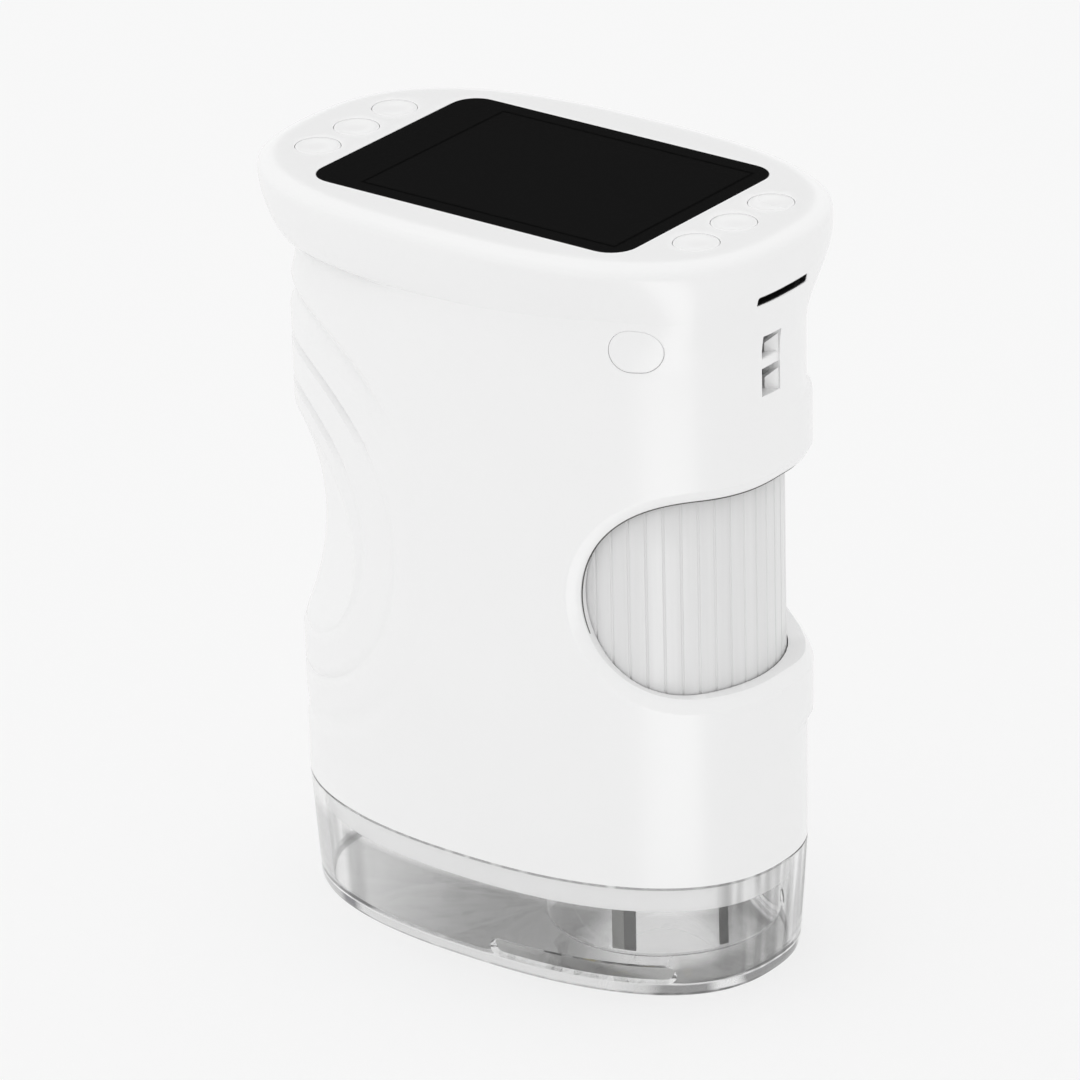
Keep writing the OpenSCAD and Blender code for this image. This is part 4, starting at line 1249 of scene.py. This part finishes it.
def base_skin(t, run, side):
    """Points of the base at the plan angles t and the distances run up its outside from the ground:
    side 0 is the outer face and 1 the inner face."""
    t, run = np.broadcast_arrays(np.asarray(t, float), np.asarray(run, float))
    bend = np.clip(run / FOOT_ROUND, 0, math.pi / 2)
    up = np.clip(run - FOOT_RUN, 0, None)
    z = FOOT_ROUND * (1 - np.cos(bend)) + up
    inset = FOOT_ROUND * (1 - np.sin(bend))
    rise = np.clip((z - FOOT_ROUND) / (BASE_TOP - FOOT_ROUND), 0, 1)
    if side:
        low = BASE_WALL + BASE_FILLET * (1 - np.cos(bend)) + np.clip(up / 0.7, 0, 1) * 0.1
        inset = BASE_WALL + BASE_FILLET * (1 - np.sin(bend))
        z = np.where(z < FILLET_TOP, low, z)
    a, b = mix(FOOT[0], SEAM[0], rise) - inset, mix(FOOT[1], SEAM[1], rise) - inset
    n = mix(FOOT_POWER, BODY_POWER, rise)
    return np.stack([a * signed_power(np.cos(t), 2 / n), b * signed_power(np.sin(t), 2 / n), z], -1)


def slot_loop(side):
    """Outline of the slide slot in the front (side -1) or rear wall of the base."""
    loop = rounded_box(SLOT_X[0], SLOT_X[1], SLOT_Z[0], SLOT_Z[1], 1.29, 0.35)
    rise = (loop[:, 1] - FOOT_ROUND) / (BASE_TOP - FOOT_ROUND)
    n = mix(FOOT_POWER, BODY_POWER, rise)
    share = np.clip(loop[:, 0] / mix(FOOT[0], SEAM[0], rise), -1, 1)
    turn = side * np.arccos(signed_power(share, n / 2))
    return np.stack([span_at(turn), loop[:, 1] - FOOT_ROUND + FOOT_RUN], -1)[::side]


def make_base():
    """Clear cup with the slide slot through both long walls and the viewing hole in its floor."""
    height = BASE_TOP - FOOT_ROUND + FOOT_RUN
    spans = np.linspace(-ROUND, ROUND, 241)
    rows = np.linspace(0, height, 22)
    outline = ([(u, 0) for u in spans] + [(ROUND, h) for h in rows[1:-1]] + [(u, height) for u in spans[::-1]]
               + [(-ROUND, h) for h in rows[1:-1][::-1]])
    slots = [slot_loop(-1), slot_loop(1)]
    lines = [(level(spans, FOOT_RUN * k / 5), False) for k in range(1, 6)]
    lines += [(level(spans, height - d), False) for d in (0.12, 0.3)]
    flat, wall_faces = flat_patch(outline, slots, lines, step=0.9)
    turn = turn_at(flat[:, 0])
    edge = round_off(flat, slots, 0.3, 0.15) + 0.05 * ramp((flat[:, 1] - height + 0.15) / 0.15) ** 2
    outer, inner = [base_skin(turn, flat[:, 1], side) for side in (0, 1)]
    away = outer[:, :2] / np.linalg.norm(outer[:, :2], axis=1)[:, None]
    outer[:, :2] -= away * edge[:, None]
    inner[:, :2] += away * edge[:, None] * 0.8

    # The floor; towards the wall its upper side draws in to the wall's inner face
    rim = base_skin(turn_at(spans[:-1]), 0, 0)[:, :2]
    hole = circle(AXIS_X, 0, VIEW_HOLE_R, 64)
    floor, floor_faces = flat_patch(rim, [hole], [(circle(AXIS_X, 0, VIEW_HOLE_R + 0.2, 64), True)], step=1.6)
    draw = np.array([1 - (half - BASE_WALL - BASE_FILLET) / (half - FOOT_ROUND) for half in FOOT])
    shrink = 1 - ramp(1 - far_from(floor, rim) / 3)[:, None] * draw
    lift = round_off(floor, [hole], 0.2, 0.15)
    low, high = level(floor, lift), level(floor * shrink, BASE_WALL - lift)
    both = np.concatenate([np.hstack([outer, inner]), np.hstack([low, high])])
    start = len(outer)
    faces = wall_faces.tolist() + [[i + start for i in f[::-1]] for f in floor_faces.tolist()]
    both, faces = merge_pairs(both, faces)
    piece = new_piece("clear_base_cup", *walled(both[:, :3], both[:, 3:], faces))
    finish(piece, CLEAR_BASE, "base", "clear_plastic", "clear_base")


def make_sleeve():
    """Clear sleeve round the light."""
    profile = [(14.2, 5.65), (14.4, 5.42), (14.6, 5.4), (15.3, 5.4), (15.5, 5.48), (15.6, 5.7), (15.6, 13.2),
               (13.5, 13.2), (13.5, 14.8), (12.6, 14.8), (12.6, 12.2), (14.2, 12.2)]
    piece = new_piece("clear_light_sleeve", *lathe(profile, AXIS_X, 0, 96))
    finish(piece, CLEAR_SLEEVE, "housing", "clear_plastic", "light_sleeve")


def make_sleeve_strips(name, material, strips):
    """Upright dark and grey strips inside the light sleeve, each given by its angle and its width."""
    r0, r1 = STRIP_RING
    profile = ((5.8, r0 + 0.15, r1 - 0.07), (6.0, r0, r1), (12.4, r0, r1), (12.6, r0 + 0.15, r1 - 0.07))
    parts = []
    for middle, width in strips:
        sweep = np.radians(middle) + np.linspace(-0.5, 0.5, 9) * width / 14
        rings = []
        for z, near, far in profile:
            loop = [(far, a) for a in sweep] + [(near, a) for a in sweep[::-1]]
            rings.append(np.array([(AXIS_X + r * math.cos(a), r * math.sin(a), z) for r, a in loop]))
        parts.append(capped(rings))
    finish(new_piece(name, *merge(parts)), material, "housing", "component_black")


def make_lens_window():
    """Round window under the lens."""
    r = LENS_WINDOW_R
    rings = [level(circle(AXIS_X, 0, r - inset, 72), z)
             for inset, z in ((0.18, 12.3), (0, 12.45), (0, 13.15), (0.18, 13.3))]
    piece = new_piece("round_lens_window", *capped(rings))
    finish(piece, CLEAR_SLEEVE, "housing", "clear_plastic", "lens_window")


make_window_shade_strip()
make_lip()
make_screw_wells()
make_lanyard_bar()
make_head()
make_glass()
make_keys()
make_side_key()
make_card_slot()
make_charge_port()
make_wheel()
make_screws()
make_base()
make_sleeve()
make_sleeve_strips("lamp_lead_strips", DARK_GREY_STRIP, ((-71.2, 1.5), (-21.2, 1.15)))
make_sleeve_strips("lamp_lead_tape", MID_GREY_STRIP, ((-77.6, 1.6),))
make_lens_window()

# Finishes of the solids that are shown as they are
for node, material in {
        "display_panel": BLACK_PLASTIC, "display_frame": SHEET_STEEL, "main_board": BOARD_GREEN,
        "button_switches": BLACK_PLASTIC, "side_switch": BLACK_PLASTIC, "inner_frame": GREY_PLASTIC,
        "lens_barrel": BLACK_PLASTIC, "objective_lens": OPTICAL_GLASS, "rear_lens": OPTICAL_GLASS,
        "lens_ring": BLACK_PLASTIC, "sensor_board": BOARD_GREEN, "image_sensor": BLACK_PLASTIC,
        "sensor_flex": FLEX_FILM, "battery": BATTERY_WRAP, "battery_tray": GREY_PLASTIC,
        "lamp_board": BOARD_WHITE, "lamp_leds": LAMP_RESIN, "bottom_plate": WHITE_ABS,
        "charge_socket": SHEET_STEEL, "card_socket": BLACK_PLASTIC}.items():
    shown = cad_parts[node]
    shown.data.materials.clear()
    shown.data.materials.append(material)


# ---------------------------------------------------------------- camera, floor and light

def make_camera():
    """Long lens from the front, right and above."""
    data = bpy.data.cameras.new("view")
    data.lens = 271.9
    data.sensor_width = 36.0
    camera = bpy.data.objects.new("view", data)
    bpy.context.scene.collection.objects.link(camera)
    right = Vector((0.80113, 0.59810, -0.02209))
    up = Vector((-0.22776, 0.33878, 0.91290))
    back = Vector((0.55348, -0.72630, 0.40762))
    turn = Matrix((right, up, back)).transposed().to_4x4()
    camera.matrix_world = Matrix.Translation(Vector((0.6012, -0.7913, 0.4981))) @ turn
    bpy.context.scene.camera = camera


def make_floor():
    """Pale floor that takes the object's shadow, and that the camera and glossy or clear parts see lit."""
    steps = 96
    points = [*level(circle(0, 0, FLOOR_R, steps), 0), (0, 0, 0)]
    floor = new_piece("floor", points, [[steps, i, (i + 1) % steps] for i in range(steps)])
    material, tree, shader, _ = start_material("pale_floor", {
        "Roughness": 0.9, "Base Color": "#F8F8F8", "Specular IOR Level": 0.0})
    path = add_node(tree, "ShaderNodeLightPath").outputs
    seen = path["Is Camera Ray"]
    for ray in ("Is Glossy Ray", "Is Transmission Ray"):
        seen = add_node(tree, "ShaderNodeMath", {"operation": "MAXIMUM"}, {0: seen, 1: path[ray]}).outputs[0]
    share = add_node(tree, "ShaderNodeMath", {"operation": "MULTIPLY"}, {0: seen, 1: 0.75})
    pale = add_node(tree, "ShaderNodeEmission", inputs={"Color": "#F7F7F7", "Strength": 1.0})
    both = add_node(tree, "ShaderNodeMixShader", inputs={
        0: share.outputs[0], 1: shader.outputs["BSDF"], 2: pale.outputs["Emission"]})
    lead_out(tree, both.outputs["Shader"])
    floor.data.materials.append(material)


def make_light():
    """Even white room, a little dimmer towards +X, with a black flag behind for the screen to reflect,
    and a soft lamp over the left."""
    world = bpy.data.worlds.new("studio")
    bpy.context.scene.world = world
    world.use_nodes = True
    tree = world.node_tree
    tree.nodes.clear()
    place = add_node(tree, "ShaderNodeTexCoord").outputs["Generated"]
    facing = add_node(tree, "ShaderNodeVectorMath", {"operation": "DOT_PRODUCT"}, {0: place, 1: FLAG_WAY})
    edge_out, edge_in = [math.cos(math.radians(angle)) for angle in (7, 4.2)]
    flag = add_node(tree, "ShaderNodeMapRange", {"interpolation_type": "SMOOTHSTEP"}, {
        "Value": facing.outputs["Value"], "From Min": edge_out, "From Max": edge_in,
        "To Min": 1.0, "To Max": 0.02})
    parts = add_node(tree, "ShaderNodeSeparateXYZ", inputs={"Vector": place})
    side = add_node(tree, "ShaderNodeMapRange", inputs={
        "Value": parts.outputs["X"], "To Min": 1.02, "To Max": 0.91})
    both = add_node(tree, "ShaderNodeMath", {"operation": "MULTIPLY"}, {
        0: flag.outputs["Result"], 1: side.outputs["Result"]})
    air = add_node(tree, "ShaderNodeBackground", inputs={"Color": "#FFFFFF", "Strength": both.outputs[0]})
    add_node(tree, "ShaderNodeOutputWorld", inputs={"Surface": air.outputs["Background"]})
    data = bpy.data.lights.new("top_softbox", "AREA")
    data.size = 1.6
    data.energy = 1.15
    lamp = bpy.data.objects.new("top_softbox", data)
    bpy.context.scene.collection.objects.link(lamp)
    lamp.location = (-0.5, -0.5, 1.9)
    lamp.rotation_euler = (math.radians(-14), math.radians(-14), 0)
    lamp.visible_camera = False


def make_front_panel():
    """Bright wedge low in front, which only the gloss of the object picks up."""
    corners = [(36, -44), (59, -26), (240, -136), (129, -233)]
    panel = new_piece("front_panel", [(x, y, 0.5) for x, y in corners], [[0, 1, 2, 3]])
    material = bpy.data.materials.new("lit_panel")
    material.use_nodes = True
    tree = material.node_tree
    tree.nodes.clear()
    glow = add_node(tree, "ShaderNodeEmission", inputs={"Color": "#FFFFFF", "Strength": 2.05})
    add_node(tree, "ShaderNodeOutputMaterial", inputs={"Surface": glow.outputs["Emission"]})
    panel.data.materials.append(material)
    panel.visible_camera = panel.visible_diffuse = panel.visible_transmission = panel.visible_shadow = False


make_camera()
make_floor()
make_light()
make_front_panel()
bpy.context.scene.view_settings.view_transform = "Standard"
